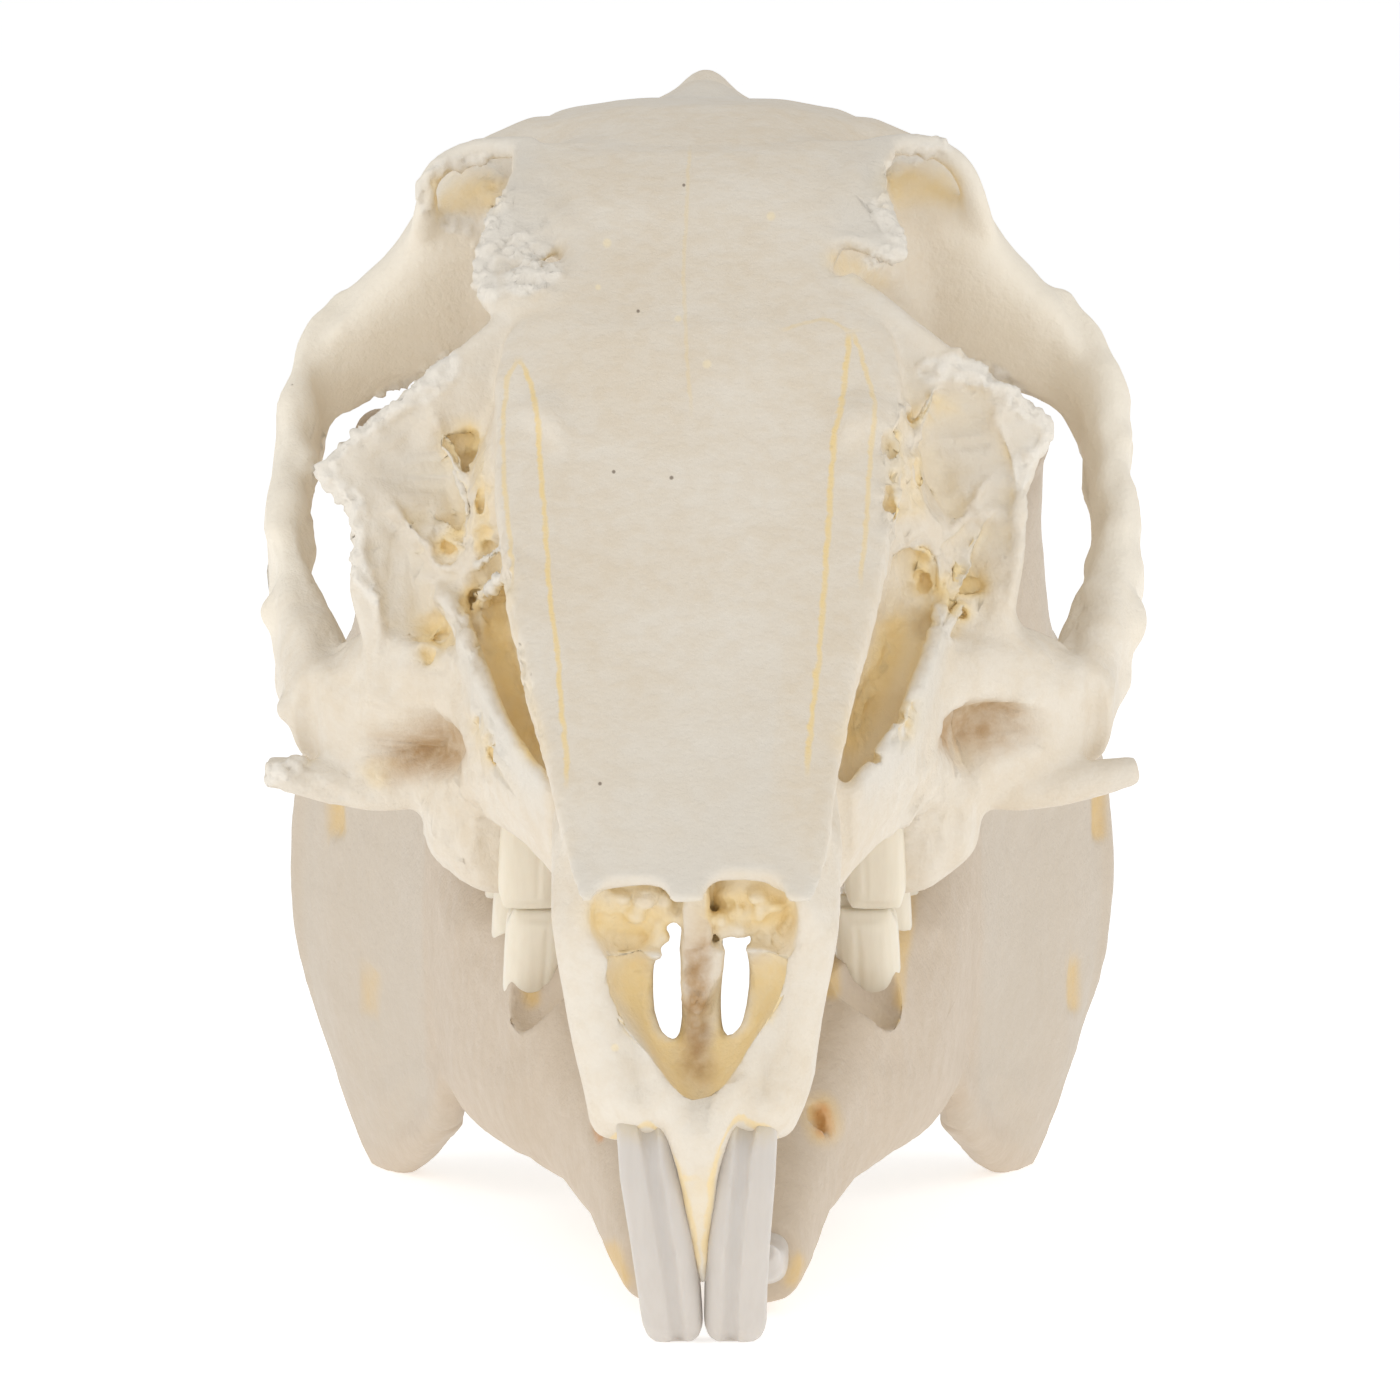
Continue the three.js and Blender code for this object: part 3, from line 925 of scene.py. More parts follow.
@dataclass
class Cranium:
    """The upper skull, one grown-together bone."""

    mass_voxel: float = 0.45
    fine_voxel: float = 0.24
    thread_voxel: float = 0.17
    face_end: float = 3.0
    rear_thinning: float = 0.6
    crumb_relief: float = 0.3
    pit_relief: float = 0.4
    worn_relief: float = 0.34
    lattice_depth: float = 0.36
    arch_relief: float = 0.4
    broad_relief: float = 0.05
    midline: tuple[tuple[float, float], ...] = (
        (-39.6, 36.9), (-20.0, 43.7), (-4.0, 49.1), (2.0, 50.4), (8.0, 51.5), (13.0, 51.8), (17.0, 51.1),
        (20.0, 50.0),
    )
    arch_reach: float = 20.3
    roof_plate: tuple[tuple[float, float, float], ...] = (
        (-39.5, 5.3, 0.22), (-38.0, 5.6, 0.3), (-36.0, 5.9, 0.5), (-31.0, 6.5, 0.9), (-26.0, 7.4, 1.2),
        (-20.0, 8.5, 1.3), (-13.0, 9.4, 1.4), (-6.0, 9.6, 1.5), (-3.0, 9.2, 1.5), (0.0, 7.6, 1.4),
        (2.5, 6.3, 1.2),
        (4.5, 6.5, 1.1), (7.0, 7.3, 1.1), (10.0, 7.6, 1.1), (13.0, 7.4, 1.1), (16.5, 7.0, 1.1),
        (20.0, 6.4, 1.0),
    )
    snout: tuple[tuple[float, float, float], ...] = (
        (-38.4, 28.4, 4.9), (-37.0, 26.6, 5.3), (-33.0, 26.4, 5.5), (-28.0, 27.0, 5.8), (-22.0, 27.2, 6.3),
        (-16.0, 27.4, 7.0), (-10.0, 28.2, 7.8), (-4.0, 31.0, 8.4), (2.0, 34.0, 6.8),
    )
    braincase: tuple[Stop, ...] = (
        (-3.0, 0.0, 41.4, 5.4, 7.2), (3.0, 0.0, 41.6, 5.6, 8.4), (9.0, 0.0, 41.0, 7.0, 10.2),
        (15.0, 0.0, 40.2, 10.4, 11.4), (21.0, 0.0, 39.4, 12.6, 11.7), (27.0, 0.0, 38.2, 12.8, 11.0),
        (33.0, 0.0, 36.8, 12.0, 10.0), (38.0, 0.0, 35.8, 10.0, 8.4), (41.2, 0.0, 35.2, 7.2, 6.2),
    )

    def build(self) -> Clay:
        """Models the bone from its thick parts to its threads.

        Returns:
            The bone's skin in the level frame.
        """
        bone = self._thick_parts()
        bone.cut(self._deep_hollows()).fuse(self.fine_voxel).smooth(3)
        bone.take(self._plates()).fuse(self.fine_voxel).smooth(3)
        bone.cut(self._openings()).fuse(self.fine_voxel).smooth(2)
        bone.cut(self._small_holes(bone.tree()))
        bone.take(self._threads(bone.tree())).fuse(self.thread_voxel).smooth(1)
        return bone

    def roof(self, y: float) -> float:
        """Height of the skull roof's midline at a place along the skull."""
        return float(np.interp(y, *zip(*self.midline)))

    @staticmethod
    def lean(y: float) -> float:
        """How far the skull roof lies to one side of the middle at a place along the skull."""
        return -0.15 - 0.4 * math.exp(-(((y + 25.0) / 9.0) ** 2))

    def _thick_parts(self) -> Clay:
        """Snout, braincase, cheek and the other full parts, softly run together."""
        clay = Clay("cranium")
        clay.loft(Axis.Y, [
            (y, 0.0, (self.roof(y) + floor) / 2 - 0.3, half, (self.roof(y) - floor) / 2 - 0.3)
            for y, floor, half in self.snout
        ], corner=0.3)
        clay.loft(Axis.Y, self.braincase, corner=0.72)
        clay.blob((0.2, 39.2, 44.2), (1.5, 2.0, 1.9))
        clay.blob((0.1, 35.6, 44.6), (2.4, 5.4, 2.2), (-22.0, 0.0, 0.0))
        clay.blob((0.1, 38.4, 43.2), (3.8, 2.6, 1.9))
        clay.loft(Axis.Y, [
            (-5.0, 0.0, 36.0, 5.4, 5.0), (4.0, 0.0, 36.6, 3.6, 6.0), (12.0, 0.0, 35.6, 3.4, 6.0),
            (20.0, 0.0, 33.6, 4.6, 5.0), (30.0, 0.0, 31.4, 5.2, 3.4), (37.0, 0.0, 31.2, 5.4, 2.6),
        ])
        clay.loft(Axis.Y, [(-13.0, 0.0, 28.2, 6.6, 1.4), (-4.5, 0.0, 28.8, 7.0, 1.5)], corner=0.4)
        clay.loft(Axis.Z, [
            (37.5, -0.2, -31.0, 6.5, 4.0), (34.5, -0.3, -34.4, 6.5, 4.0), (30.2, -0.3, -36.2, 5.7, 3.8),
            (26.8, -0.35, -37.4, 4.9, 3.4), (25.0, -0.35, -37.8, 4.6, 2.6),
        ], corner=0.35)
        for side in Side:
            self._thick_side(clay, side)
        return clay.fuse(self.mass_voxel).smooth(6)

    @staticmethod
    def _thick_side(clay: Clay, side: Side) -> None:
        """Adds the full parts of one side."""
        clay.blob(side.at((2.7, -36.9, 28.3)), (2.5, 5.1, 3.0), (20.0, 0.0, 0.0))
        clay.loft(Axis.X, side.stops(Axis.X, (
            (8.0, 21.4, 43.5, 5.5, 6.5), (11.5, 19.8, 43.4, 3.9, 5.8), (13.4, 18.8, 42.6, 3.1, 4.8),
            (15.2, 17.9, 41.2, 2.5, 3.6), (17.4, 16.8, 39.8, 2.0, 2.9), (18.9, 15.2, 38.4, 1.5, 2.6),
        )), corner=0.8)
        clay.loft(Axis.X, side.stops(Axis.X, (
            (6.5, -11.0, 32.0, 4.6, 4.6), (10.0, -10.0, 32.0, 3.8, 4.5), (13.5, -8.5, 32.0, 3.0, 4.2),
            (16.5, -7.2, 31.4, 2.2, 3.4), (18.4, -6.2, 30.9, 1.7, 2.7),
        )))
        clay.loft(Axis.Y, side.stops(Axis.Y, (
            (-24.5, 6.0, 31.6, 0.8, 1.4), (-20.0, 7.0, 31.8, 1.6, 1.9), (-15.0, 8.7, 31.8, 2.4, 2.6),
            (-10.0, 10.2, 32.2, 2.8, 4.2), (-5.5, 10.6, 33.6, 2.4, 4.4),
        )))
        clay.loft(Axis.Y, side.stops(Axis.Y, (
            (-13.8, 8.5, 27.2, 2.6, 2.8), (-10.0, 9.5, 27.2, 3.6, 3.3), (-4.0, 9.5, 27.6, 3.6, 3.4),
            (1.0, 8.9, 28.4, 3.0, 3.3), (4.6, 8.0, 29.4, 2.0, 2.8),
        )), corner=0.5)
        clay.loft(Axis.Y, side.stops(Axis.Y, (
            (-12.8, 10.9, 27.6, 1.8, 2.0), (-10.0, 11.2, 27.3, 2.1, 2.5), (-6.5, 11.2, 27.4, 2.1, 2.8),
        )), corner=0.35)
        clay.loft(Axis.X, side.stops(Axis.X, (
            (6.5, -8.0, 40.6, 4.8, 7.6), (9.2, -6.6, 40.6, 3.6, 6.8), (11.6, -6.2, 37.4, 2.6, 4.2),
        )))
        clay.blob(side.at((8.8, 29.6, 29.4)), (4.6, 6.0, 5.8), (0.0, 0.0, -12.0 * side.value))
        clay.loft(Axis.Z, side.stops(Axis.Z, (
            (31.0, 9.6, 29.0, 2.6, 2.8), (35.0, 12.2, 30.0, 2.4, 2.5), (38.6, 13.8, 31.0, 2.2, 2.2),
        )), corner=0.9)
        clay.blob(side.at((4.2, 40.6, 31.2)), (1.9, 2.6, 3.0), (0.0, 0.0, 18.0 * side.value))
        clay.loft(Axis.Z, side.stops(Axis.Z, (
            (35.0, 9.2, 37.0, 2.2, 1.9), (28.6, 9.4, 37.8, 1.2, 1.1), (25.2, 9.2, 37.8, 0.6, 0.6),
        )), corner=0.9)

    @staticmethod
    def _deep_hollows() -> Clay:
        """Eye sockets, nose, brain hollow and the rear nostril."""
        clay = Clay("deep_hollows")
        clay.loft(Axis.Y, [
            (-44.0, -0.3, 34.8, 4.7, 1.4), (-38.6, -0.3, 35.1, 4.6, 1.5), (-36.0, -0.3, 35.2, 4.4, 1.9),
            (-34.0, -0.3, 35.0, 3.8, 2.0), (-32.0, -0.3, 34.8, 2.6, 1.4),
        ], corner=0.5)
        clay.blob((0.0, 25.5, 39.8), (9.6, 11.2, 8.6)).blob((0.0, 40.0, 33.6), (3.3, 8.0, 3.4))
        clay.loft(Axis.Y, [
            (-4.0, 0.0, 29.6, 2.8, 2.4), (4.0, 0.0, 28.8, 3.6, 3.6), (12.0, 0.0, 27.6, 3.4, 3.8),
            (24.0, 0.0, 23.6, 3.0, 3.4),
        ])
        for side in Side:
            clay.blob(side.at((12.8, 6.6, 39.4)), (8.1, 9.5, 10.4))
            clay.blob(side.at((13.4, 6.0, 29.5)), (5.0, 6.4, 6.0))
            clay.blob(side.at((15.4, 32.0, 40.2)), (2.2, 1.6, 3.0))
        return clay.fuse(0.4)

    def _plates(self) -> Clay:
        """The thin parts: skull roof, cheek arches, brow wings, tear-bone corners and spurs."""
        clay = Clay("plates")
        clay.loft(Axis.Y, [
            (y, self.lean(y), self.roof(y) - thick, half, thick) for y, half, thick in self.roof_plate
        ], corner=0.4)
        clay.loft(Axis.Z, [
            (28.8, -0.15, -39.0, 2.6, 2.4), (26.6, -0.15, -40.2, 1.55, 2.2),
            (24.5, -0.15, -41.0, 0.95, 1.6),
            (22.5, -0.1, -41.2, 0.66, 1.2), (20.0, -0.02, -41.3, 0.36, 0.8), (18.6, 0.05, -41.2, 0.2, 0.6),
        ], corner=0.5)
        for side in Side:
            self._side_plates(clay, side)
        self._brow_wings(clay)
        self._arch_bumps(clay)
        return clay.done()

    def _side_plates(self, clay: Clay, side: Side) -> None:
        """Adds the thin parts of one side."""
        more = 0.1 if side is Side.LEFT else 0.3
        clay.loft(Axis.Y, side.stops(Axis.Y, (
            (18.2, 17.4, 40.2, 1.2, 2.4), (16.4, 18.7, 39.1, 1.0 + more, 2.6),
            (13.5, self.arch_reach - 0.55, 37.2, 0.9 + more, 2.9),
            (8.0, self.arch_reach - 0.15, 34.9, 0.85 + more, 3.0),
            (3.0, self.arch_reach - 0.2, 33.4, 0.9 + more, 3.0),
            (0.0, self.arch_reach - 0.7, 32.4, 1.1 + more, 2.9),
            (-4.0, 18.5, 31.4, 1.7, 2.8), (-7.0, 17.6, 30.6, 1.9, 2.6),
        )), corner=0.75)
        clay.loft(Axis.Y, side.stops(Axis.Y, (
            (12.0, 19.8, 35.4, 0.7, 2.0), (17.0, 19.2, 35.8, 0.65, 1.6), (22.0, 18.4, 35.6, 0.45, 0.8),
        )), corner=0.8)
        clay.loft(Axis.Z, side.stops(Axis.Z, WING_STOPS[side]), corner=0.5)
        clay.loft(Axis.Y, side.stops(Axis.Y, (
            (-25.0, 6.6, 33.4, 0.42, 1.6), (-21.6, 8.0, 33.6, 0.42, 1.8), (-18.0, 9.5, 33.9, 0.45, 2.1),
            (-15.0, 10.3, 34.4, 0.5, 2.5), (-11.0, 11.2, 34.8, 0.6, 2.6),
        )))
        clay.loft(Axis.Y, side.stops(Axis.Y, (
            (3.0, 6.2, 30.6, 0.8, 4.6), (9.0, 5.2, 29.2, 0.7, 4.4), (14.0, 4.7, 29.0, 0.7, 4.0),
            (19.0, 4.6, 30.0, 0.9, 3.0),
        )))
        clay.rods(
            side.knots((
                (20.8, -8.3, 28.6, 0.75), (19.6, -8.5, 28.4, 0.9), (17.6, -8.8, 28.1, 1.05),
                (15.6, -9.2, 27.9, 1.05), (13.4, -9.8, 28.2, 0.95), (11.8, -10.2, 28.4, 0.8),
            )),
            side.knots((
                (12.2, -8.0, 37.8, 0.8), (11.2, -11.0, 37.4, 0.55), (10.3, -15.0, 36.9, 0.5),
                (9.5, -18.0, 36.0, 0.45), (8.0, -21.6, 35.4, 0.42), (6.6, -25.0, 35.0, 0.42),
            )),
            side.knots(WING_RIMS[side]),
        )

    @staticmethod
    def _arch_bumps(clay: Clay) -> None:
        """Adds the knobs that muscles have left along the cheek arches."""
        for place, half in ARCH_BUMPS:
            clay.blob(place, half, fineness=3)

    @staticmethod
    def _brow_wings(clay: Clay) -> None:
        """Adds the two brow wings, which have worn differently."""
        clay.loft(Axis.Y, [
            (2.6, 9.5, 50.2, 0.3, 0.25), (3.6, 8.8, 50.4, 1.1, 0.4), (5.5, 7.4, 50.6, 2.3, 0.5),
            (9.0, 6.6, 51.0, 2.4, 0.55), (12.0, 6.6, 51.2, 2.4, 0.55), (15.0, 7.0, 51.2, 2.6, 0.55),
        ])
        clay.loft(Axis.Y, [
            (1.8, -10.6, 49.3, 0.35, 0.3), (3.2, -9.8, 49.6, 1.2, 0.45), (5.5, -8.6, 50.0, 2.2, 0.55),
            (9.0, -7.4, 50.6, 2.5, 0.6), (12.0, -6.8, 50.9, 2.5, 0.6), (15.0, -6.8, 51.0, 2.5, 0.6),
        ])
        clay.blob((-7.8, 1.2, 49.1), (2.9, 2.9, 1.2))
        clay.rods(
            [
                (8.2, 14.6, 51.3, 0.6), (9.8, 16.6, 50.9, 0.6), (11.6, 17.4, 50.3, 0.6),
                (12.8, 16.6, 49.6, 0.6),
                (13.4, 16.6, 48.0, 0.7), (13.8, 17.4, 45.4, 0.9),
            ],
            [
                (-8.2, 15.0, 51.2, 0.6), (-10.4, 16.8, 50.6, 0.6), (-12.4, 16.8, 50.0, 0.6),
                (-13.6, 15.6, 49.2, 0.55),
                (-13.5, 15.8, 47.8, 0.6), (-13.7, 17.2, 45.4, 0.9),
            ],
        )

    @staticmethod
    def _openings() -> Clay:
        """Nose opening, notches of the roof's edge, palate slits and the hollows beside the snout."""
        clay = Clay("openings")
        clay.blob((-0.3, -40.4, 33.6), (2.6, 3.0, 2.8))
        clay.loft(Axis.Z, [(35.4, -3.1, -40.2, 1.7, 2.0), (40.0, -3.1, -40.2, 1.7, 2.0)])
        clay.loft(Axis.Z, [(35.4, 1.9, -40.0, 1.75, 2.2), (40.0, 1.9, -40.0, 1.75, 2.2)])
        clay.blob((9.2, 1.9, 47.8), (3.0, 1.9, 2.6))
        for side in Side:
            x, y, z = side.at((1.7, -40.2, 31.5))
            clay.blob((x - 0.3, y, z), (1.25, 3.3, 3.9), (0.0, 33.0 * side.value, 0.0))
            clay.loft(Axis.Y, side.stops(Axis.Y, (
                (-38.0, 1.4, 31.4, 0.35, 1.8), (-36.4, 1.5, 30.6, 0.65, 3.6),
                (-33.0, 1.75, 28.6, 0.95, 4.8),
                (-28.0, 2.2, 27.6, 1.4, 4.8), (-20.0, 2.5, 27.4, 1.7, 4.6), (-13.8, 2.4, 27.4, 1.2, 4.6),
            )), corner=0.6)
            clay.loft(Axis.Y, side.stops(Axis.Y, (
                (-22.5, 7.0, 35.9, 0.4, 1.2), (-19.0, 7.9, 37.1, 0.9, 2.6), (-14.5, 8.9, 37.8, 1.15, 2.8),
                (-11.0, 9.7, 38.8, 1.15, 2.5), (-9.2, 10.2, 39.4, 0.8, 1.6),
            )), corner=0.7)
        return clay.fuse(0.2)

    @staticmethod
    def _small_holes(tree: BVHTree) -> Clay:
        """Nerve holes and the holes of the lattice before the eye."""
        clay = Clay("small_holes")
        draw = random.Random(5)
        for pit in CRANIUM_PITS:
            pit.carve(clay, tree, draw)
        return clay.fuse(0.1)

    @staticmethod
    def _threads(tree: BVHTree) -> Clay:
        """Struts of the lattice, the scrolls inside the nose and the crumbled edges."""
        clay = Clay("threads")
        draw = random.Random(7)
        clay.rods(*[knots for strut in CRANIUM_STRUTS if len(knots := strut.knots(tree)) > 1])
        clay.loft(Axis.Y, [
            (-37.4, -0.27, 32.8, 0.62, 4.1), (-36.0, -0.27, 32.4, 0.64, 5.0), (-31.0, -0.27, 32.2, 0.6, 5.2),
        ])
        grains = []
        for x, y, z in NOSE_SCROLLS:
            clay.blob((x, y + 1.2, z + 0.6), (2.1, 1.6, 2.1))
            for _ in range(40):
                place = (
                    x + draw.uniform(-1.8, 1.8), y + draw.uniform(-0.5, 0.9), z + draw.uniform(-0.8, 1.6),
                )
                grains.append((place, tuple(draw.uniform(0.3, 0.55) for _ in range(3)), (0.0, 0.0, 0.0)))
        for edge in CRUMBLED_EDGES:
            grains.extend(edge.scatter(tree, draw))
        return clay.grains(grains).done()

    def dress(self, bone: Clay) -> None:
        """Gives the skin its fine relief and stores what its finish reads.

        Args:
            bone: The bone's skin in the level frame.
        """
        bone.thin_rear(self.face_end, self.rear_thinning).thin(BONE_LIMIT)
        skin = Skin(bone)
        seen = skin.seen()
        visible = seen > SEEN_ENOUGH
        crumb = np.zeros(len(skin.points))
        for edge in CRUMBLED_EDGES:
            reach = 1.4 * edge.spread + 6.0
            crumb = np.maximum(crumb, np.clip(1.4 - skin.near(edge.path) / reach, 0.0, 1.0))
        crumb = crumb * visible
        tints = {tone: skin.stained(stains) * visible for tone, stains in CRANIUM_STAINS.items()}
        across, along = np.abs(skin.points[:, 0]), skin.points[:, 1]
        skin.push(self._relief(skin, visible, crumb, tints[Tone.BROWN]))
        skin.store()
        # how closed in each point is; the finish paints amber and umber shade in the hollows from it
        skin.paint("hollow", skin.soften(skin.shade(18, 9.0), 2))
        skin.paint("thin", skin.soften(np.clip(1.5 - skin.thickness(4.0) / 1.6, 0.0, 1.0), 6))
        skin.paint("crumb", skin.soften(crumb, 2))
        # painted light: a lighter colour on the skull's sides behind the snout, to make up for the shade that
        # falls on the arches and eye-socket walls
        skin.paint("fair", ramp(across, 10.0, 5.0) * ramp(along, -5.0, 6.0))
        skin.paint("seen", skin.soften(seen, 1))
        for tone, tint in tints.items():
            skin.paint(tone.value, skin.soften(tint, 1))
        skin.map_picture()

    def _relief(self, skin: Skin, visible: np.ndarray, crumb: np.ndarray, brown: np.ndarray) -> np.ndarray:
        """How far each point of the skin is pushed out, in millimetres.

        Args:
            skin: The skin.
            visible: Whether the photograph sees each point.
            crumb: How far each point has crumbled.
            brown: How far each point is stained brown.

        Returns:
            One push a point.
        """
        across, along = np.abs(skin.points[:, 0]), skin.points[:, 1]
        arch = ramp(across, 15.5, 2.0) * ramp(along, -7.0, 4.0)
        worn = skin.stained(WEATHERED) * visible
        relief = self.crumb_relief * crumb * skin.rough(0.55, 3, 3.0)
        relief = relief + self.pit_relief * brown * skin.rough(0.9, 3, 4.0)
        relief = relief + self.worn_relief * worn * skin.rough(1.1, 4, 6.0)
        relief = relief - skin.soften(skin.dished(CRANIUM_DISHES) * visible, 4)
        porous = skin.soften(skin.stained(POROUS) * visible, 3)
        relief = relief - self.lattice_depth * skin.lattice(1.1, porous)
        relief = relief + self.arch_relief * arch * skin.rough(3.2, 2, 12.0)
        return relief + self.broad_relief * skin.rough(2.4, 4, 9.0)


WING_STOPS: dict[Side, tuple[Stop, ...]] = {
    Side.RIGHT: (
        (48.9, 7.4, -0.6, 1.5, 1.0), (47.6, 9.0, -2.0, 2.4, 1.1), (46.4, 10.0, -3.0, 3.6, 1.1),
        (45.2, 10.6, -3.6, 4.8, 1.0), (44.2, 11.0, -4.1, 5.6, 0.9), (43.2, 10.8, -4.6, 5.2, 1.0),
        (41.5, 10.6, -5.3, 4.7, 1.1), (39.0, 10.6, -6.4, 4.7, 1.3), (36.5, 10.6, -7.4, 4.2, 1.8),
        (34.5, 11.0, -8.0, 4.4, 2.2), (33.0, 11.0, -8.6, 5.0, 2.6),
    ),
    Side.LEFT: (
        (48.8, 7.6, -0.6, 1.6, 1.0), (46.8, 9.6, -2.4, 2.7, 1.1), (45.0, 10.7, -3.4, 4.1, 1.1),
        (43.6, 11.4, -4.1, 5.2, 1.0), (42.3, 11.9, -4.6, 6.1, 0.9), (41.4, 11.6, -5.1, 5.6, 1.0),
        (40.0, 11.2, -5.7, 5.2, 1.2), (37.5, 11.2, -6.9, 5.5, 1.5), (35.2, 11.0, -7.8, 5.0, 2.0),
        (33.0, 11.0, -8.6, 5.2, 2.6),
    ),
}

WING_RIMS: dict[Side, tuple[Knot, ...]] = {
    Side.RIGHT: (
        (6.8, 1.4, 49.7, 0.7), (8.6, -0.8, 49.0, 0.75), (10.6, -2.2, 47.9, 0.7), (12.6, -3.1, 46.8, 0.65),
        (14.4, -3.7, 45.7, 0.6), (15.8, -4.1, 44.9, 0.5), (16.6, -4.3, 44.2, 0.4),
    ),
    Side.LEFT: (
        (6.8, 1.4, 49.7, 0.7), (8.6, -0.8, 48.9, 0.75), (10.9, -2.2, 47.4, 0.7), (13.0, -3.2, 46.0, 0.65),
        (15.0, -3.9, 44.6, 0.6), (16.8, -4.3, 43.2, 0.5), (18.1, -4.5, 42.2, 0.4),
    ),
}

NOSE_SCROLLS: tuple[Point, ...] = ((-3.1, -36.6, 34.5), (2.5, -36.6, 34.8))

ARCH_BUMPS: tuple[tuple[Point, Point], ...] = (
    ((-20.6, 0.4, 33.0), (0.8, 1.0, 0.9)), ((-20.4, 6.0, 35.8), (0.5, 1.2, 1.4)),
    ((-19.0, 0.2, 32.2), (0.4, 0.5, 0.4)),
    ((-19.8, -5.8, 30.6), (0.6, 0.7, 0.6)), ((-19.4, 8.4, 36.8), (0.6, 1.6, 1.2)),
    ((-19.3, 3.4, 34.4), (0.5, 1.4, 1.0)),
    ((20.6, 10.4, 37.2), (0.7, 1.6, 1.4)), ((20.7, 4.6, 34.8), (0.6, 1.6, 1.4)),
    ((20.6, -0.4, 32.8), (0.7, 1.6, 1.4)),
    ((19.2, 3.4, 34.2), (0.5, 1.4, 1.2)), ((18.6, -1.0, 32.4), (0.5, 1.4, 1.2)),
)

CRANIUM_DISHES: tuple[Dish, ...] = (
    Dish(((405, 450), (425, 495)), 44.0, 0.8), Dish(((446, 440), (456, 520)), 17.0, 0.6),
    Dish(((396, 555), (412, 610)), 34.0, 0.9), Dish(((962, 415), (945, 480)), 44.0, 0.8),
    Dish(((1000, 450), (1000, 500)), 20.0, 0.5), Dish(((985, 540), (965, 590)), 28.0, 0.7),
    Dish(((408, 762), (434, 750)), 32.0, 2.6), Dish(((972, 738), (1004, 730)), 34.0, 2.6),
    Dish(((424, 750), (438, 746)), 16.0, 0.9), Dish(((976, 730), (992, 727)), 16.0, 0.9),
    Dish(((618, 985), (640, 1085)), 24.0, 0.7), Dish(((785, 985), (762, 1085)), 24.0, 0.7),
    Dish(((622, 950), (672, 1055), (700, 1098)), 22.0, 0.65),
    Dish(((778, 950), (728, 1055), (700, 1098)), 22.0, 0.65),
    Dish(((330, 640), (345, 690)), 22.0, 0.4), Dish(((1075, 610), (1060, 670)), 22.0, 0.4),
    Dish(((610, 240), (600, 300)), 40.0, 0.18), Dish(((770, 230), (780, 290)), 40.0, 0.18),
)

CRANIUM_PITS: tuple[Pit, ...] = (
    Pit((470, 448), 0.9, 3.0, 1.1, -14.0), Pit((482, 505), 0.8, 3.4, 1.1, -2.0),
    Pit((445, 545), 0.6, 1.0, 0.6, 20.0), Pit((458, 532), 0.8, 1.4, 0.9), Pit((459, 512), 0.8, 1.0, 0.9),
    Pit((435, 634), 1.2, 1.2, 0.6), Pit((428, 656), 1.0, 0.7, 0.8), Pit((471, 598), 0.8, 1.5, 0.9),
    Pit((497, 600), 0.6, 1.8, 0.6, 25.0), Pit((476, 724), 0.7, 1.0, 0.9), Pit((487, 739), 0.9, 0.7, 0.9),
    Pit((489, 757), 0.9, 0.7, 0.9), Pit((911, 419), 0.9, 1.8, 1.1),
    Pit((898, 448), 1.0, 2.8, 1.4, 8.0), Pit((920, 468), 0.9, 1.6, 0.9), Pit((919, 505), 0.9, 1.4, 0.9),
    Pit((895, 505), 0.9, 2.2, 1.3), Pit((922, 556), 0.6, 0.8, 0.6), Pit((921, 584), 0.8, 0.8, 0.9),
    Pit((940, 583), 0.8, 0.8, 0.7), Pit((954, 600), 0.9, 0.8, 0.7), Pit((966, 612), 0.8, 0.8, 0.8),
    Pit((977, 584), 0.6, 0.6, 0.4), Pit((913, 710), 0.6, 0.8, 0.9), Pit((910, 733), 0.9, 0.8, 0.9),
    Pit((897, 716), 0.7, 1.0, 0.9), Pit((871, 755), 0.7, 0.9, 0.8), Pit((560, 800), 0.4, 0.5, 0.4),
)

CRANIUM_STRUTS: tuple[Strut, ...] = (
    Strut(((390, 501), (408, 520), (425, 546), (438, 566)), 0.32),
    Strut(((371, 501), (358, 540), (371, 584), (384, 619), (379, 653)), 0.3),
    Strut(((432, 409), (449, 449), (462, 492), (471, 536)), 0.34),
    Strut(((488, 435), (493, 496), (484, 545)), 0.34),
    Strut(((430, 515), (444, 524), (458, 532)), 0.16), Strut(((438, 532), (450, 540), (462, 548)), 0.16),
    Strut(((447, 508), (449, 530), (452, 556)), 0.16), Strut(((424, 634), (435, 636), (446, 632)), 0.14),
    Strut(((434, 622), (436, 634), (434, 646)), 0.14),
    Strut(((438, 566), (460, 572), (484, 562), (500, 548)), 0.24),
    Strut(((510, 571), (484, 592), (478, 619), (484, 645)), 0.36),
    Strut(((994, 413), (1018, 474), (1018, 509), (1029, 530), (1016, 561), (1007, 605)), 0.38),
    Strut(((937, 387), (915, 430), (907, 461), (913, 509), (908, 540)), 0.32),
    Strut(((985, 478), (970, 505), (959, 526), (942, 543)), 0.26),
    Strut(((994, 509), (980, 530), (968, 552), (959, 587)), 0.26),
    Strut(((930, 500), (940, 530), (942, 543)), 0.22),
    Strut(((946, 575), (950, 592), (948, 606)), 0.15), Strut(((936, 592), (956, 592), (966, 604)), 0.15),
    Strut(((905, 545), (930, 548), (942, 570), (930, 600)), 0.24),
)

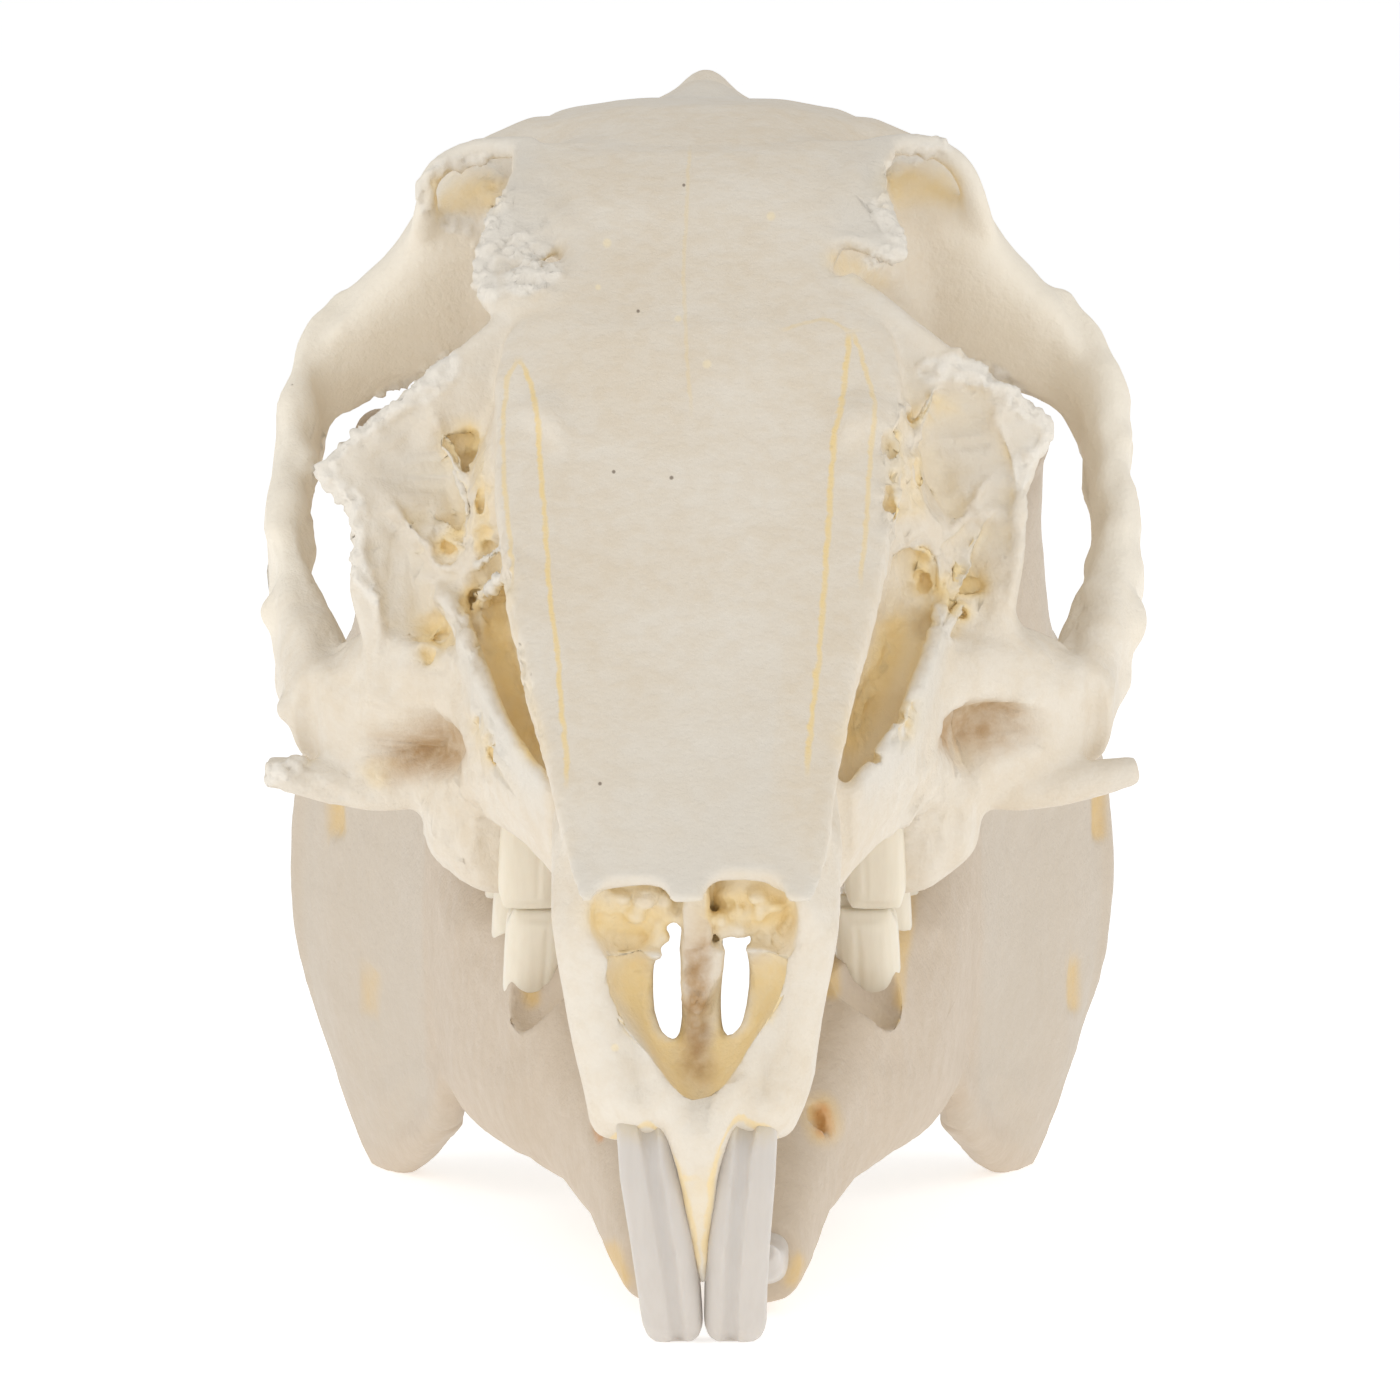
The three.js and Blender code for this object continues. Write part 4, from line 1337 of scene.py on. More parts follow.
CRUMBLED_EDGES: tuple[CrumbledEdge, ...] = (
    CrumbledEdge(((449, 366), (435, 380), (419, 392), (401, 394), (374, 413)), 0.26, 7.0, 190),
    CrumbledEdge(
        ((374, 413), (362, 425), (338, 440), (326, 460), (324, 478), (334, 490), (350, 500)),
        0.26, 6.0, 190,
    ),
    CrumbledEdge(((358, 506), (356, 524), (350, 545), (360, 575), (376, 597)), 0.28, 3.0, 50),
    CrumbledEdge(
        ((930, 372), (953, 366), (969, 373), (994, 376), (1022, 402), (1044, 420)),
        0.26, 6.0, 170,
    ),
    CrumbledEdge(((1044, 420), (1046, 438), (1024, 460), (1018, 480)), 0.3, 4.0, 50),
    CrumbledEdge(((490, 173), (498, 205), (488, 235), (482, 270), (488, 292)), 0.24, 5.0, 90),
    CrumbledEdge(((510, 240), (545, 270), (520, 280)), 0.22, 9.0, 70),
    CrumbledEdge(((449, 222), (467, 226)), 0.26, 4.0, 24),
    CrumbledEdge(((428, 205), (424, 190), (442, 168), (484, 160)), 0.24, 3.0, 60),
    CrumbledEdge(((880, 205), (893, 232), (900, 250), (872, 262)), 0.24, 3.0, 50),
    CrumbledEdge(((892, 170), (925, 150), (945, 145)), 0.22, 3.0, 40),
    CrumbledEdge(((270, 775), (297, 764)), 0.3, 4.0, 30),
)

WEATHERED: tuple[Stain, ...] = (
    Stain(((390, 430), (430, 470), (400, 540), (420, 600), (450, 640)), 42.0),
    Stain(((500, 560), (480, 650)), 24.0),
    Stain(((985, 400), (950, 440), (985, 500), (960, 560), (930, 600)), 42.0),
    Stain(((905, 420), (905, 560)), 18.0),
    Stain(((440, 780), (470, 840)), 30.0), Stain(((950, 780), (925, 830)), 30.0),
    Stain(((470, 720), (490, 760)), 20.0),
    Stain(((520, 250), (540, 200)), 26.0), Stain(((850, 230), (860, 190)), 26.0),
    Stain(((280, 775), (340, 790)), 12.0),
    Stain(((660, 900), (600, 905)), 8.0), Stain(((720, 900), (780, 905)), 8.0),
    Stain(((360, 720), (380, 780)), 18.0),
)

POROUS: tuple[Stain, ...] = (
    Stain(((440, 512), (452, 550)), 16.0), Stain(((470, 440), (484, 540)), 12.0),
    Stain(((434, 628), (436, 642)), 14.0),
    Stain(((470, 590), (496, 612)), 12.0), Stain(((903, 420), (898, 520)), 16.0),
    Stain(((920, 556), (972, 600)), 17.0),
    Stain(((945, 400), (930, 440)), 10.0), Stain(((478, 722), (490, 760)), 9.0),
    Stain(((912, 706), (902, 736)), 10.0),
    Stain(((510, 650), (530, 740)), 10.0), Stain(((885, 640), (860, 730)), 10.0),
    Stain(((515, 245), (540, 275)), 16.0),
)

CRANIUM_STAINS: dict[Tone, tuple[Stain, ...]] = {
    Tone.AMBER: (
        Stain(((600, 915), (655, 926)), 18.0), Stain(((715, 910), (775, 910)), 18.0),
        Stain(((681, 1170), (700, 1250)), 4.0), Stain(((713, 1166), (702, 1250)), 4.0),
        Stain(((468, 429), (480, 475), (482, 544)), 9.0), Stain(((498, 630), (515, 690), (533, 750)), 13.0),
        Stain(((895, 630), (875, 690), (848, 740)), 13.0), Stain(((899, 436), (896, 510)), 9.0),
        Stain(((919, 462), (919, 508)), 9.0), Stain(((945, 405), (912, 419)), 8.0),
        Stain(((922, 556), (921, 585)), 8.0),
        Stain(((939, 583), (964, 611)), 10.0), Stain(((976, 582), (977, 588)), 11.0),
        Stain(((434, 632), (435, 636)), 15.0),
        Stain(((426, 656), (431, 657)), 9.0), Stain(((471, 594), (472, 604)), 8.0),
        Stain(((445, 546), (458, 528)), 9.0),
        Stain(((374, 772), (378, 778)), 10.0), Stain(((476, 724), (488, 758)), 8.0),
        Stain(((913, 708), (909, 735)), 9.0), Stain(((442, 192), (485, 192)), 16.0),
        Stain(((892, 186), (944, 186)), 16.0),
        Stain(((640, 975), (690, 1070)), 13.0), Stain(((762, 975), (710, 1070)), 13.0),
        Stain(((832, 262), (878, 282)), 9.0), Stain(((700, 1182), (701, 1250)), 6.0),
        Stain(((505, 590), (496, 622)), 8.0),
    ),
    Tone.BROWN: (
        Stain(((402, 762), (440, 750)), 18.0), Stain(((966, 738), (1010, 730)), 18.0),
        Stain(((697, 930), (697, 1062)), 11.0),
    ),
}


@dataclass
class LowerJaw:
    """One half of the lower jaw: a bar that holds the teeth and a thin flared blade."""

    side: Side
    voxel: float = 0.24
    limit: int = 100_000
    broad_relief: float = 0.06
    front_shift: float = 0.45
    blade_turn: float = 24.0
    blade_pivot: tuple[float, float] = (15.5, 10.5)
    bar: tuple[Stop, ...] = (
        (-33.6, 2.2, 15.4, 1.9, 2.1), (-30.0, 2.5, 15.5, 2.3, 3.1), (-25.0, 3.3, 15.9, 2.6, 3.6),
        (-20.0, 4.9, 16.0, 2.7, 4.0), (-15.5, 6.8, 16.2, 2.9, 5.1), (-10.5, 8.2, 15.4, 3.0, 6.1),
        (-5.5, 9.4, 14.6, 3.0, 7.1), (0.0, 10.8, 14.0, 2.5, 7.9), (5.0, 12.4, 14.0, 1.6, 8.2),
    )
    blade: tuple[Stop, ...] = (
        (-5.6, -1.6, 5.0, 0.7, 1.2), (-4.2, -1.2, 4.5, 0.9, 2.6), (-1.5, -0.5, 3.2, 0.85, 5.2),
        (1.5, 0.3, 1.6, 0.75, 7.4), (5.0, 0.8, 0.5, 0.7, 9.1), (10.0, 0.85, 0.05, 0.7, 10.0),
        (15.0, 0.5, 0.0, 0.7, 10.1), (20.0, -0.3, 0.2, 0.8, 8.5), (25.0, -1.3, 1.4, 0.95, 5.8),
        (30.0, -2.0, 3.3, 0.95, 4.1), (33.6, -2.3, 4.8, 1.1, 3.2),
    )
    rim: tuple[Knot, ...] = (
        (17.0, 18.2, 24.0, 0.7), (19.2, 18.9, 19.0, 0.8), (20.2, 19.4, 13.5, 0.85), (20.4, 19.4, 8.0, 0.85),
        (19.6, 19.0, 3.5, 0.9), (18.0, 18.2, 0.0, 1.0), (16.4, 16.8, -3.0, 1.1), (15.6, 15.4, -4.6, 0.9),
        (14.4, 12.0, -2.4, 0.9), (13.4, 8.6, 0.6, 0.9), (12.6, 5.0, 3.2, 0.9),
    )
    front_rim: tuple[Knot, ...] = (
        (12.6, 7.6, 25.0, 0.7), (12.0, 3.6, 20.0, 0.9), (11.9, 1.4, 14.0, 1.0), (12.3, 1.6, 8.0, 1.0),
        (12.8, 4.4, 3.4, 1.0),
    )

    def build(self) -> Clay:
        """Models the bone.

        Returns:
            The bone's skin in the level frame.
        """
        bone = Clay(f"lower_jaw_{self.side.label}")
        self._bar(bone)
        self._blade(bone)
        bone.blob(self.side.at((15.4, 16.6, 34.6)), (1.8, 3.3, 1.7), (0.0, 0.0, -20.0 * self.side.value))
        bone.fuse(0.3).smooth(4)
        bone.cut(self._hollows()).fuse(self.voxel).smooth(2)
        bone.cut(self._small_holes(bone.tree()))
        return bone.fuse(self.voxel).smooth(1)

    def _bar(self, bone: Clay) -> None:
        """Adds the bar that holds the teeth."""
        reach = self.bar[-1][0] - self.bar[0][0]
        stops = []
        for y, x, z, half_x, half_z in self.bar:
            drift = self.front_shift * (self.bar[-1][0] - y) / reach
            stops.append((y, self.side.value * x + drift, z, half_x, half_z))
        bone.loft(Axis.Y, stops, corner=0.75)

    def _blade(self, bone: Clay) -> None:
        """Adds the blade, straight along Y, and turns it outward."""
        x0, y0 = self.blade_pivot
        bone.loft(Axis.Z, [
            (z, self.side.value * (x0 + out), y0 + back, half_out, half_back)
            for z, out, back, half_out, half_back in self.blade
        ], corner=0.8)
        bone.turn(-self.blade_turn * self.side.value, (self.side.value * x0, y0, 0.0))
        bone.rods(self.side.knots(self.rim), self.side.knots(self.front_rim))

    def _hollows(self) -> Clay:
        """The window before the first tooth and the midline."""
        clay = Clay("jaw_hollows")
        clay.blob(self.side.at((8.0, -15.8, 22.2)), (2.0, 2.2, 3.6), (0.0, -6.0 * self.side.value, 0.0))
        clay.loft(Axis.Y, [
            (-40.0, self.front_shift - self.side.value * 2.9, 14.0, 3.0, 9.0),
            (-14.0, -self.side.value * 2.9, 14.0, 3.0, 9.0),
        ], corner=0.1)
        return clay.fuse(0.25)

    def _small_holes(self, tree: BVHTree) -> Clay:
        """The nerve hole beside the chin."""
        clay = Clay("jaw_holes")
        draw = random.Random(11)
        for pit in JAW_PITS[self.side]:
            pit.carve(clay, tree, draw)
        return clay.fuse(0.12)

    def dress(self, bone: Clay) -> None:
        """Gives the skin its fine relief and stores what its finish reads.

        Args:
            bone: The bone's skin in the level frame.
        """
        bone.thin(self.limit)
        skin = Skin(bone)
        visible = skin.seen() > SEEN_ENOUGH
        dished = skin.soften(skin.dished(JAW_DISHES[self.side]) * visible, 4)
        skin.push(self.broad_relief * skin.rough(2.6, 3, 5.0) - dished)
        skin.store()
        # how closed in each point is; the finish paints amber and umber shade in the hollows from it
        skin.paint("hollow", skin.soften(skin.shade(16, 8.0), 2))
        skin.paint("thin", skin.soften(np.clip(1.6 - skin.thickness(4.0) / 1.6, 0.0, 1.0), 8))
        for tone, stains in JAW_STAINS.items():
            skin.paint(tone.value, skin.soften(skin.stained(stains) * visible, 1))
        skin.map_picture()


JAW_STAINS: dict[Tone, tuple[Stain, ...]] = {
    Tone.AMBER: (
        Stain(((332, 805), (333, 830)), 6.0), Stain(((363, 972), (364, 1008)), 6.0),
        Stain(((1100, 794), (1100, 834)), 6.0),
        Stain(((1075, 964), (1075, 1006)), 5.0), Stain(((906, 880), (902, 1000)), 8.0),
        Stain(((827, 900), (831, 990)), 8.0),
        Stain(((522, 900), (532, 1000)), 7.0), Stain(((820, 1112), (824, 1126)), 15.0),
        Stain(((612, 1250), (622, 1280)), 8.0),
        Stain(((798, 1262), (792, 1280)), 7.0),
    ),
    Tone.BROWN: (Stain(((821, 1112), (824, 1128)), 8.0), Stain(((596, 1122), (600, 1138)), 3.5)),
}

JAW_DISHES: dict[Side, tuple[Dish, ...]] = {
    Side.LEFT: (
        Dish(((375, 820), (385, 940), (400, 1050)), 62.0, 0.6), Dish(((475, 960), (500, 1050)), 40.0, 0.35),
        Dish(((410, 1100), (400, 1120)), 26.0, 0.4), Dish(((332, 803), (333, 832)), 9.0, 0.35),
        Dish(((363, 970), (364, 1010)), 9.0, 0.35),
    ),
    Side.RIGHT: (
        Dish(((1035, 820), (1025, 940), (1005, 1050)), 62.0, 0.6),
        Dish(((925, 960), (900, 1050)), 40.0, 0.35),
        Dish(((1000, 1100), (1010, 1120)), 26.0, 0.4), Dish(((1100, 794), (1100, 834)), 9.0, 0.35),
        Dish(((1075, 964), (1075, 1006)), 9.0, 0.35),
    ),
}

JAW_PITS: dict[Side, tuple[Pit, ...]] = {
    Side.LEFT: (Pit((595, 1128), 0.5, 1.3, 0.9),),
    Side.RIGHT: (Pit((822, 1119), 1.4, 1.9, 0.9, 14.0),),
}


@dataclass
class UpperIncisor:
    """A curved chisel tooth with one groove down its front."""

    side: Side
    voxel: float = 0.14
    limit: int = 24_000

    def build(self) -> Clay:
        """Models the tooth from its tip up into its socket."""
        clay = Clay(f"upper_incisor_{self.side.label}")
        clay.loft(Axis.Z, INCISOR_STOPS[self.side], corner=0.8)
        clay.fuse(self.voxel).smooth(6)
        clay.cut(self._groove()).fuse(self.voxel).smooth(2)
        return clay.thin(self.limit)

    def _groove(self) -> Clay:
        """Cutter of the groove, along the front face and round under the tip."""
        clay = Clay("groove")
        inward = -0.22 * self.side.value
        path = [
            (x + inward, y - half_y - 0.1, z, 0.42) for z, x, y, _, half_y in INCISOR_STOPS[self.side][:-1]
        ]
        clay.rods(path)
        return clay.fuse(0.1)


INCISOR_STAIN = (24.6, 27.6)  # heights where the stain near the socket starts and is full

INCISOR_STOPS: dict[Side, list[Stop]] = {
    Side.RIGHT: [
        (15.55, 1.5, -40.9, 0.9, 0.5), (15.9, 1.5, -41.0, 1.24, 0.75), (16.6, 1.5, -41.2, 1.42, 0.95),
        (18.5, 1.52, -41.4, 1.42, 1.1), (21.0, 1.64, -41.6, 1.42, 1.2), (24.0, 1.88, -41.3, 1.4, 1.25),
        (26.5, 2.1, -40.5, 1.3, 1.25), (28.3, 2.7, -38.5, 0.9, 1.1), (29.1, 3.0, -37.0, 0.6, 1.1),
    ],
    Side.LEFT: [
        (15.55, -1.28, -40.9, 0.9, 0.5), (15.9, -1.29, -41.0, 1.2, 0.75), (16.6, -1.32, -41.2, 1.38, 0.95),
        (18.5, -1.48, -41.4, 1.44, 1.1), (21.0, -1.78, -41.6, 1.44, 1.2), (24.0, -2.25, -41.3, 1.42, 1.25),
        (26.5, -2.6, -40.5, 1.25, 1.25), (28.3, -3.0, -38.5, 0.9, 1.1), (29.1, -3.1, -37.0, 0.6, 1.1),
    ],
}


@dataclass
class PegTooth:
    """The small second incisor behind the first."""

    side: Side

    def build(self) -> Clay:
        """Models the tooth."""
        clay = Clay(f"peg_tooth_{self.side.label}")
        clay.loft(Axis.Z, self.side.stops(Axis.Z, (
            (21.4, 1.55, -37.9, 0.42, 0.36), (22.4, 1.55, -37.5, 0.58, 0.52),
            (24.4, 1.55, -36.6, 0.66, 0.64), (25.0, 1.5, -35.8, 0.6, 0.62),
        )), corner=0.9)
        return clay.fuse(0.12).smooth(4)


@dataclass
class LowerIncisor:
    """A nearly level tooth whose tip stands just behind the upper one."""

    side: Side
    shift: float = 0.45

    def build(self) -> Clay:
        """Models the tooth."""
        clay = Clay(f"lower_incisor_{self.side.label}")
        clay.loft(Axis.Y, [
            (y, self.side.value * x + self.shift, z, half_x, half_z)
            for y, x, z, half_x, half_z in (
                (-24.0, 3.6, 15.6, 1.1, 1.1), (-30.0, 2.5, 15.2, 1.25, 1.25), (-34.5, 2.1, 16.1, 1.35, 1.2),
                (-37.4, 1.9, 17.6, 1.32, 1.0), (-39.0, 1.75, 19.0, 1.2, 0.5),
            )
        ], corner=0.7)
        return clay.fuse(0.15).smooth(4)


@dataclass(frozen=True)
class CheekToothPlace:
    """Where a cheek tooth stands in its row: its middle and half sizes, in the level frame."""

    x: float
    y: float
    half_x: float
    half_y: float


@dataclass
class CheekTeeth:
    """The two upper and two lower rows of cheek teeth, copies of one crown with two cross ridges."""

    crown_z: float = 24.15
    gap: float = 0.15
    upper_length: float = 7.0
    lower_length: float = 8.6
    upper: tuple[CheekToothPlace, ...] = (
        CheekToothPlace(8.2, -14.0, 1.5, 1.05), CheekToothPlace(8.9, -11.3, 2.1, 1.3),
        CheekToothPlace(9.3, -8.4, 2.2, 1.35), CheekToothPlace(9.4, -5.5, 2.2, 1.35),
        CheekToothPlace(9.2, -2.6, 2.0, 1.25), CheekToothPlace(8.8, -0.3, 1.0, 0.8),
    )
    lower: tuple[CheekToothPlace, ...] = (
        CheekToothPlace(7.7, -13.2, 1.55, 1.5), CheekToothPlace(8.2, -9.8, 1.7, 1.45),
        CheekToothPlace(8.6, -6.7, 1.7, 1.35), CheekToothPlace(8.9, -3.8, 1.6, 1.25),
        CheekToothPlace(9.1, -1.5, 0.9, 0.75),
    )

    def build(self) -> list[Clay]:
        """Models one crown and copies it to every place.

        Returns:
            The teeth, each named after its node.
        """
        pattern = self._crown()
        teeth = []
        for side in Side:
            for i, place in enumerate(self.upper):
                root = (-0.3 * side.value, 0.5, self.upper_length)
                name = f"upper_cheek_tooth_{side.label}_{i + 1}"
                teeth.append(self._copy(pattern, name, side, place, root, self.gap))
            for i, place in enumerate(self.lower):
                root = (0.5 * side.value, 0.8, -self.lower_length)
                name = f"lower_cheek_tooth_{side.label}_{i + 1}"
                teeth.append(self._copy(pattern, name, side, place, root, -self.gap))
        bpy.data.objects.remove(pattern.body)
        return teeth

    @staticmethod
    def _crown() -> Clay:
        """A crown of half size 1 whose chewing face is at 0 and whose root end is at 1."""
        clay = Clay("crown")
        clay.loft(Axis.Z, [
            (0.06, 0.0, 0.0, 0.92, 0.9), (0.12, 0.0, 0.0, 1.0, 1.0), (0.5, 0.0, 0.0, 0.99, 0.99),
            (1.0, 0.0, 0.0, 0.9, 0.9),
        ], corner=0.75)
        for y in (-0.5, 0.5):
            clay.loft(Axis.Z, [(0.0, 0.0, y, 0.8, 0.2), (0.2, 0.0, y, 0.8, 0.3)], corner=0.5)
        clay.fuse(0.05).smooth(2)
        cutter = Clay("crown_grooves")
        for x in (-1.08, 1.08):
            cutter.loft(Axis.Z, [(-0.2, x, 0.0, 0.2, 0.16), (1.2, x, 0.0, 0.2, 0.16)], corner=0.9)
        cutter.loft(Axis.Z, [(-0.2, -0.3, -1.06, 0.16, 0.12), (1.2, -0.3, -1.06, 0.16, 0.12)], corner=0.9)
        return clay.cut(cutter.fuse(0.04)).fuse(0.05).smooth(6)

    def _copy(
        self, pattern: Clay, name: str, side: Side, place: CheekToothPlace, root: Point, gap: float
    ) -> Clay:
        """Copies the crown to one place.

        Args:
            pattern: The crown.
            name: Name of the tooth's node.
            side: Side of the skull.
            place: Place in the row.
            root: Way from the middle of the chewing face to the root end.
            gap: How far the chewing face stands off the chewing plane.

        Returns:
            The tooth.
        """
        pattern.activate()
        bpy.ops.object.duplicate()
        tooth = Clay(name, bpy.context.active_object)
        matrix = Matrix((
            (place.half_x * side.value, 0.0, root[0], place.x * side.value),
            (0.0, place.half_y, root[1], place.y),
            (0.0, 0.0, root[2], self.crown_z + gap),
            (0.0, 0.0, 0.0, 1.0),
        ))
        tooth.body.data.transform(matrix)
        if matrix.determinant() < 0:
            tooth.body.data.flip_normals()
        return tooth


@dataclass(frozen=True)
class Seam:
    """A seam between two bones, along pixels of the photograph."""

    path: tuple[Pixel, ...]
    width: float
    strength: float
    upright: bool = True

    def mask(self, graph: Graph, u: Value, v: Value, wobble: Value) -> Value:
        """Nodes that are 1 on the seam and 0 off it.

        Args:
            graph: The material's tree.
            u: Pixel across, as a share of the frame.
            v: Pixel down, as a share of the frame.
            wobble: Noise that makes the seam uneven.

        Returns:
            The mask.
        """
        along, across = (v, u) if self.upright else (u, v)
        points = [(b, a) if self.upright else (a, b) for a, b in self.path]
        points = [(a / PICTURE.side, b / PICTURE.side) for a, b in points]
        line = graph.node("ShaderNodeFloatCurve", {"points": points}, {"Value": along})
        half = self.width / PICTURE.side
        low, high = min(points)[0], max(points)[0]
        fade = 8.0 / PICTURE.side
        ends = along.rise(low - fade, low + fade) * along.fall(high - fade, high + 3 * fade)
        return abs(across - line + wobble * half).fall(0.25 * half, half) * ends * self.strength


SEAMS: tuple[Seam, ...] = (
    Seam(
        (
            (520, 362), (531, 385), (538, 426), (542, 480), (547, 553),
            (551, 602), (558, 660), (562, 712), (567, 770),
        ),
        4.0, 0.8,
    ),
    Seam(((519, 362), (510, 372), (505, 402), (503, 440), (505, 487), (509, 530), (512, 568)), 3.6, 0.55),
    Seam(
        (
            (849, 336), (848, 352), (845, 373), (841, 406), (835, 437),
            (830, 500), (826, 560), (818, 660), (807, 760),
        ),
        4.4, 0.8,
    ),
    Seam(
        ((853, 334), (860, 351), (870, 385), (874, 402), (872, 439), (869, 479), (866, 528), (861, 570)),
        3.8, 0.55,
    ),
    Seam(((690, 150), (686, 222), (684, 279), (686, 335), (690, 400)), 3.0, 0.25),
    Seam(((784, 330), (806, 322), (827, 320), (846, 332)), 3.5, 0.3, upright=False),
    Seam(((670, 1150), (681, 1182), (690, 1215), (698, 1262)), 5.0, 0.6),
    Seam(((720, 1150), (713, 1178), (706, 1262)), 5.0, 0.6),
    Seam(
        ((603, 1152), (613, 1139), (632, 1132), (642, 1124), (654, 1127), (666, 1148), (681, 1182)),
        5.0, 0.65, upright=False,
    ),
    Seam(
        ((713, 1176), (720, 1147), (730, 1125), (742, 1117), (754, 1126), (771, 1130), (785, 1160)),
        5.0, 0.65, upright=False,
    ),
)

YELLOW_SPOTS: tuple[tuple[Pixel, float], ...] = (
    ((607, 241), 6.0), ((598, 285), 4.0), ((678, 317), 5.0), ((707, 364), 6.0), ((771, 215), 6.0),
    ((614, 1048), 5.0),
)

DARK_SPECKS: tuple[tuple[Pixel, float], ...] = (
    ((614, 472), 2.6), ((684, 185), 2.2), ((638, 309), 2.4), ((672, 478), 2.8), ((600, 784), 2.6),
)


@dataclass(frozen=True)
class BoneFinish:
    """Dry ivory bone, chalky where crumbled; amber, and umber in the deepest, where closed in: partly its own
    yellowing, partly painted warm shade; painted light on the sides.
    """

    name: str
    ivory: Colour
    cream: Colour
    thin: Colour
    amber: Colour
    umber: Colour
    brown: Colour
    chalk: Colour
    # lighter colour painted as light on the skull's sides
    fair: Colour
    soak: float
    seams: tuple[Seam, ...] = ()
    spots: tuple[tuple[Pixel, float], ...] = ()
    specks: tuple[tuple[Pixel, float], ...] = ()
    roughness: float = 0.5
    bump: float = 0.7
    bump_depth: float = 0.0002

    def material(self) -> bpy.types.Material:
        """Makes the material."""
        graph = Graph(self.name)
        place = graph.millimetres()
        broad = graph.grain(place, 7.0, 3.0, 0.6)
        fine = graph.grain(place, 0.9, 3.0, 0.6)
        pores = graph.grain(place, 0.28, 2.0, 0.6)
        hollow = graph.attribute("hollow")
        shade = graph.mix(broad.rise(0.3, 0.7) * 0.6 + fine.rise(0.35, 0.7) * 0.4, self.ivory, self.cream)
        shade = graph.mix(graph.attribute("thin") * 0.75, shade, self.thin)
        # painted light: the lighter colour on the skull's sides behind the snout
        shade = graph.mix(graph.attribute("fair") * 0.8, shade, self.fair)
        # painted warm shade: amber where the bone is closed in, standing in for light that scatters through
        # the bone into its hollows, and umber in the deepest hollows as painted shade; partly also the bone's
        # own yellowing there
        shade = graph.mix(hollow.rise(0.35, 0.85), shade, self.amber)
        shade = graph.mix(hollow.rise(0.82, 1.0) * 0.5, shade, self.umber)
        crumb = (graph.attribute("crumb") * (0.6 + 0.8 * fine)).rise(0.3, 0.75)
        shade = graph.mix(crumb * hollow.fall(0.45, 0.8), shade, self.chalk)
        amber = graph.attribute("amber") * (0.4 + 0.7 * fine) * hollow.rise(0.1, 0.6, self.soak, 1.0)
        shade = graph.mix(amber, shade, self.umber)
        shade = graph.mix(graph.attribute("brown") * fine.rise(0.2, 0.8, 0.5, 1.0), shade, self.brown)
        shade = graph.mix(self._seams(graph, fine), shade, self.umber)
        shade = graph.mix(fine.rise(0.62, 0.8) * 0.22, shade, self.chalk)
        shade = self._specks(graph, shade)
        relief = fine * 0.6 + pores * 0.3
        inputs = {"Strength": self.bump, "Distance": self.bump_depth, "Height": relief}
        bump = graph.node("ShaderNodeBump", None, inputs)
        rough = self.roughness + 0.22 * (fine - 0.5) + 0.2 * crumb
        varying = {"Base Color": shade, "Roughness": rough, "Normal": bump}
        return graph.surface({"Specular IOR Level": 0.42}, varying)

    def _seams(self, graph: Graph, fine: Value) -> Value:
        """All seams, on the skin that the photograph sees."""
        if not self.seams:
            return fine * 0.0
        spot = graph.node("ShaderNodeUVMap", {"uv_map": PICTURE_MAP})
        u = graph.node("ShaderNodeSeparateXYZ", None, {"Vector": spot})
        v = Value(graph, u.socket.node.outputs["Y"])
        wobble = 2.0 * (fine - 0.5)
        total = self.seams[0].mask(graph, u, v, wobble)
        for seam in self.seams[1:]:
            total = total.most(seam.mask(graph, u, v, wobble))
        return total * graph.attribute("seen").rise(0.12, 0.3) * (0.45 + fine)

    def _specks(self, graph: Graph, shade: Value) -> Value:
        """Adds the yellow spots and the dark specks to a colour."""
        if not self.spots:
            return shade
        spot = graph.node("ShaderNodeUVMap", {"uv_map": PICTURE_MAP})
        for spots, tint, strength in ((self.spots, self.amber, 0.8), (self.specks, SPECK_BROWN, 0.8)):
            total = None
            for (across, down), radius in spots:
                middle = (across / PICTURE.side, down / PICTURE.side, 0.0)
                ends = {0: spot, 1: middle}
                gap = graph.node("ShaderNodeVectorMath", {"operation": "DISTANCE"}, ends, output=1)
                dot = gap.fall(0.4 * radius / PICTURE.side, radius / PICTURE.side)
                total = dot if total is None else total.most(dot)
            shade = graph.mix(total * graph.attribute("seen").rise(0.2, 0.4) * strength, shade, tint)
        return shade


@dataclass(frozen=True)
class EnamelFinish:
    """White enamel with faint streaks along the tooth."""

    name: str
    white: Colour
    grey: Colour
    stain: Colour

    def material(self) -> bpy.types.Material:
        """Makes the material."""
        graph = Graph(self.name)
        place = graph.millimetres()
        drawn = graph.node("ShaderNodeMapping", None, {"Vector": place, "Scale": (2.4, 1.2, 0.12)})
        streak = graph.grain(drawn, 1.0, 4.0, 0.6)
        fine = graph.grain(place, 0.7, 4.0, 0.6)
        shade = graph.mix(streak.rise(0.35, 0.75) * 0.5, self.white, self.grey)
        stained = (graph.attribute("root") + 0.3 * (fine - 0.5)).rise(0.3, 0.9) * 0.8
        shade = graph.mix(stained, shade, self.stain)
        constants = {
            "Subsurface Weight": 0.2,
            "Subsurface Radius": (1.0, 0.8, 0.6),
            "Subsurface Scale": 0.0009,
            "Specular IOR Level": 0.5,
        }
        rough = 0.34 + 0.2 * (fine - 0.5)
        return graph.surface(constants, {"Base Color": shade, "Roughness": rough})


@dataclass(frozen=True)
class FloorFinish:
    """Pale matte paper, lit a little from below like a light table."""

    name: str = "floor_paper"
    pale: Colour = (0.9, 0.9, 0.9, 1.0)
    glow: float = 0.48

    def material(self) -> bpy.types.Material:
        """Makes the material."""
        graph = Graph(self.name)
        lit = {"Emission Color": (1.0, 1.0, 1.0, 1.0), "Emission Strength": self.glow}
        paper = {"Base Color": self.pale, "Roughness": 0.9, "Specular IOR Level": 0.1}
        return graph.surface({**paper, **lit}, {})


SPECK_BROWN = colour(112, 96, 80)

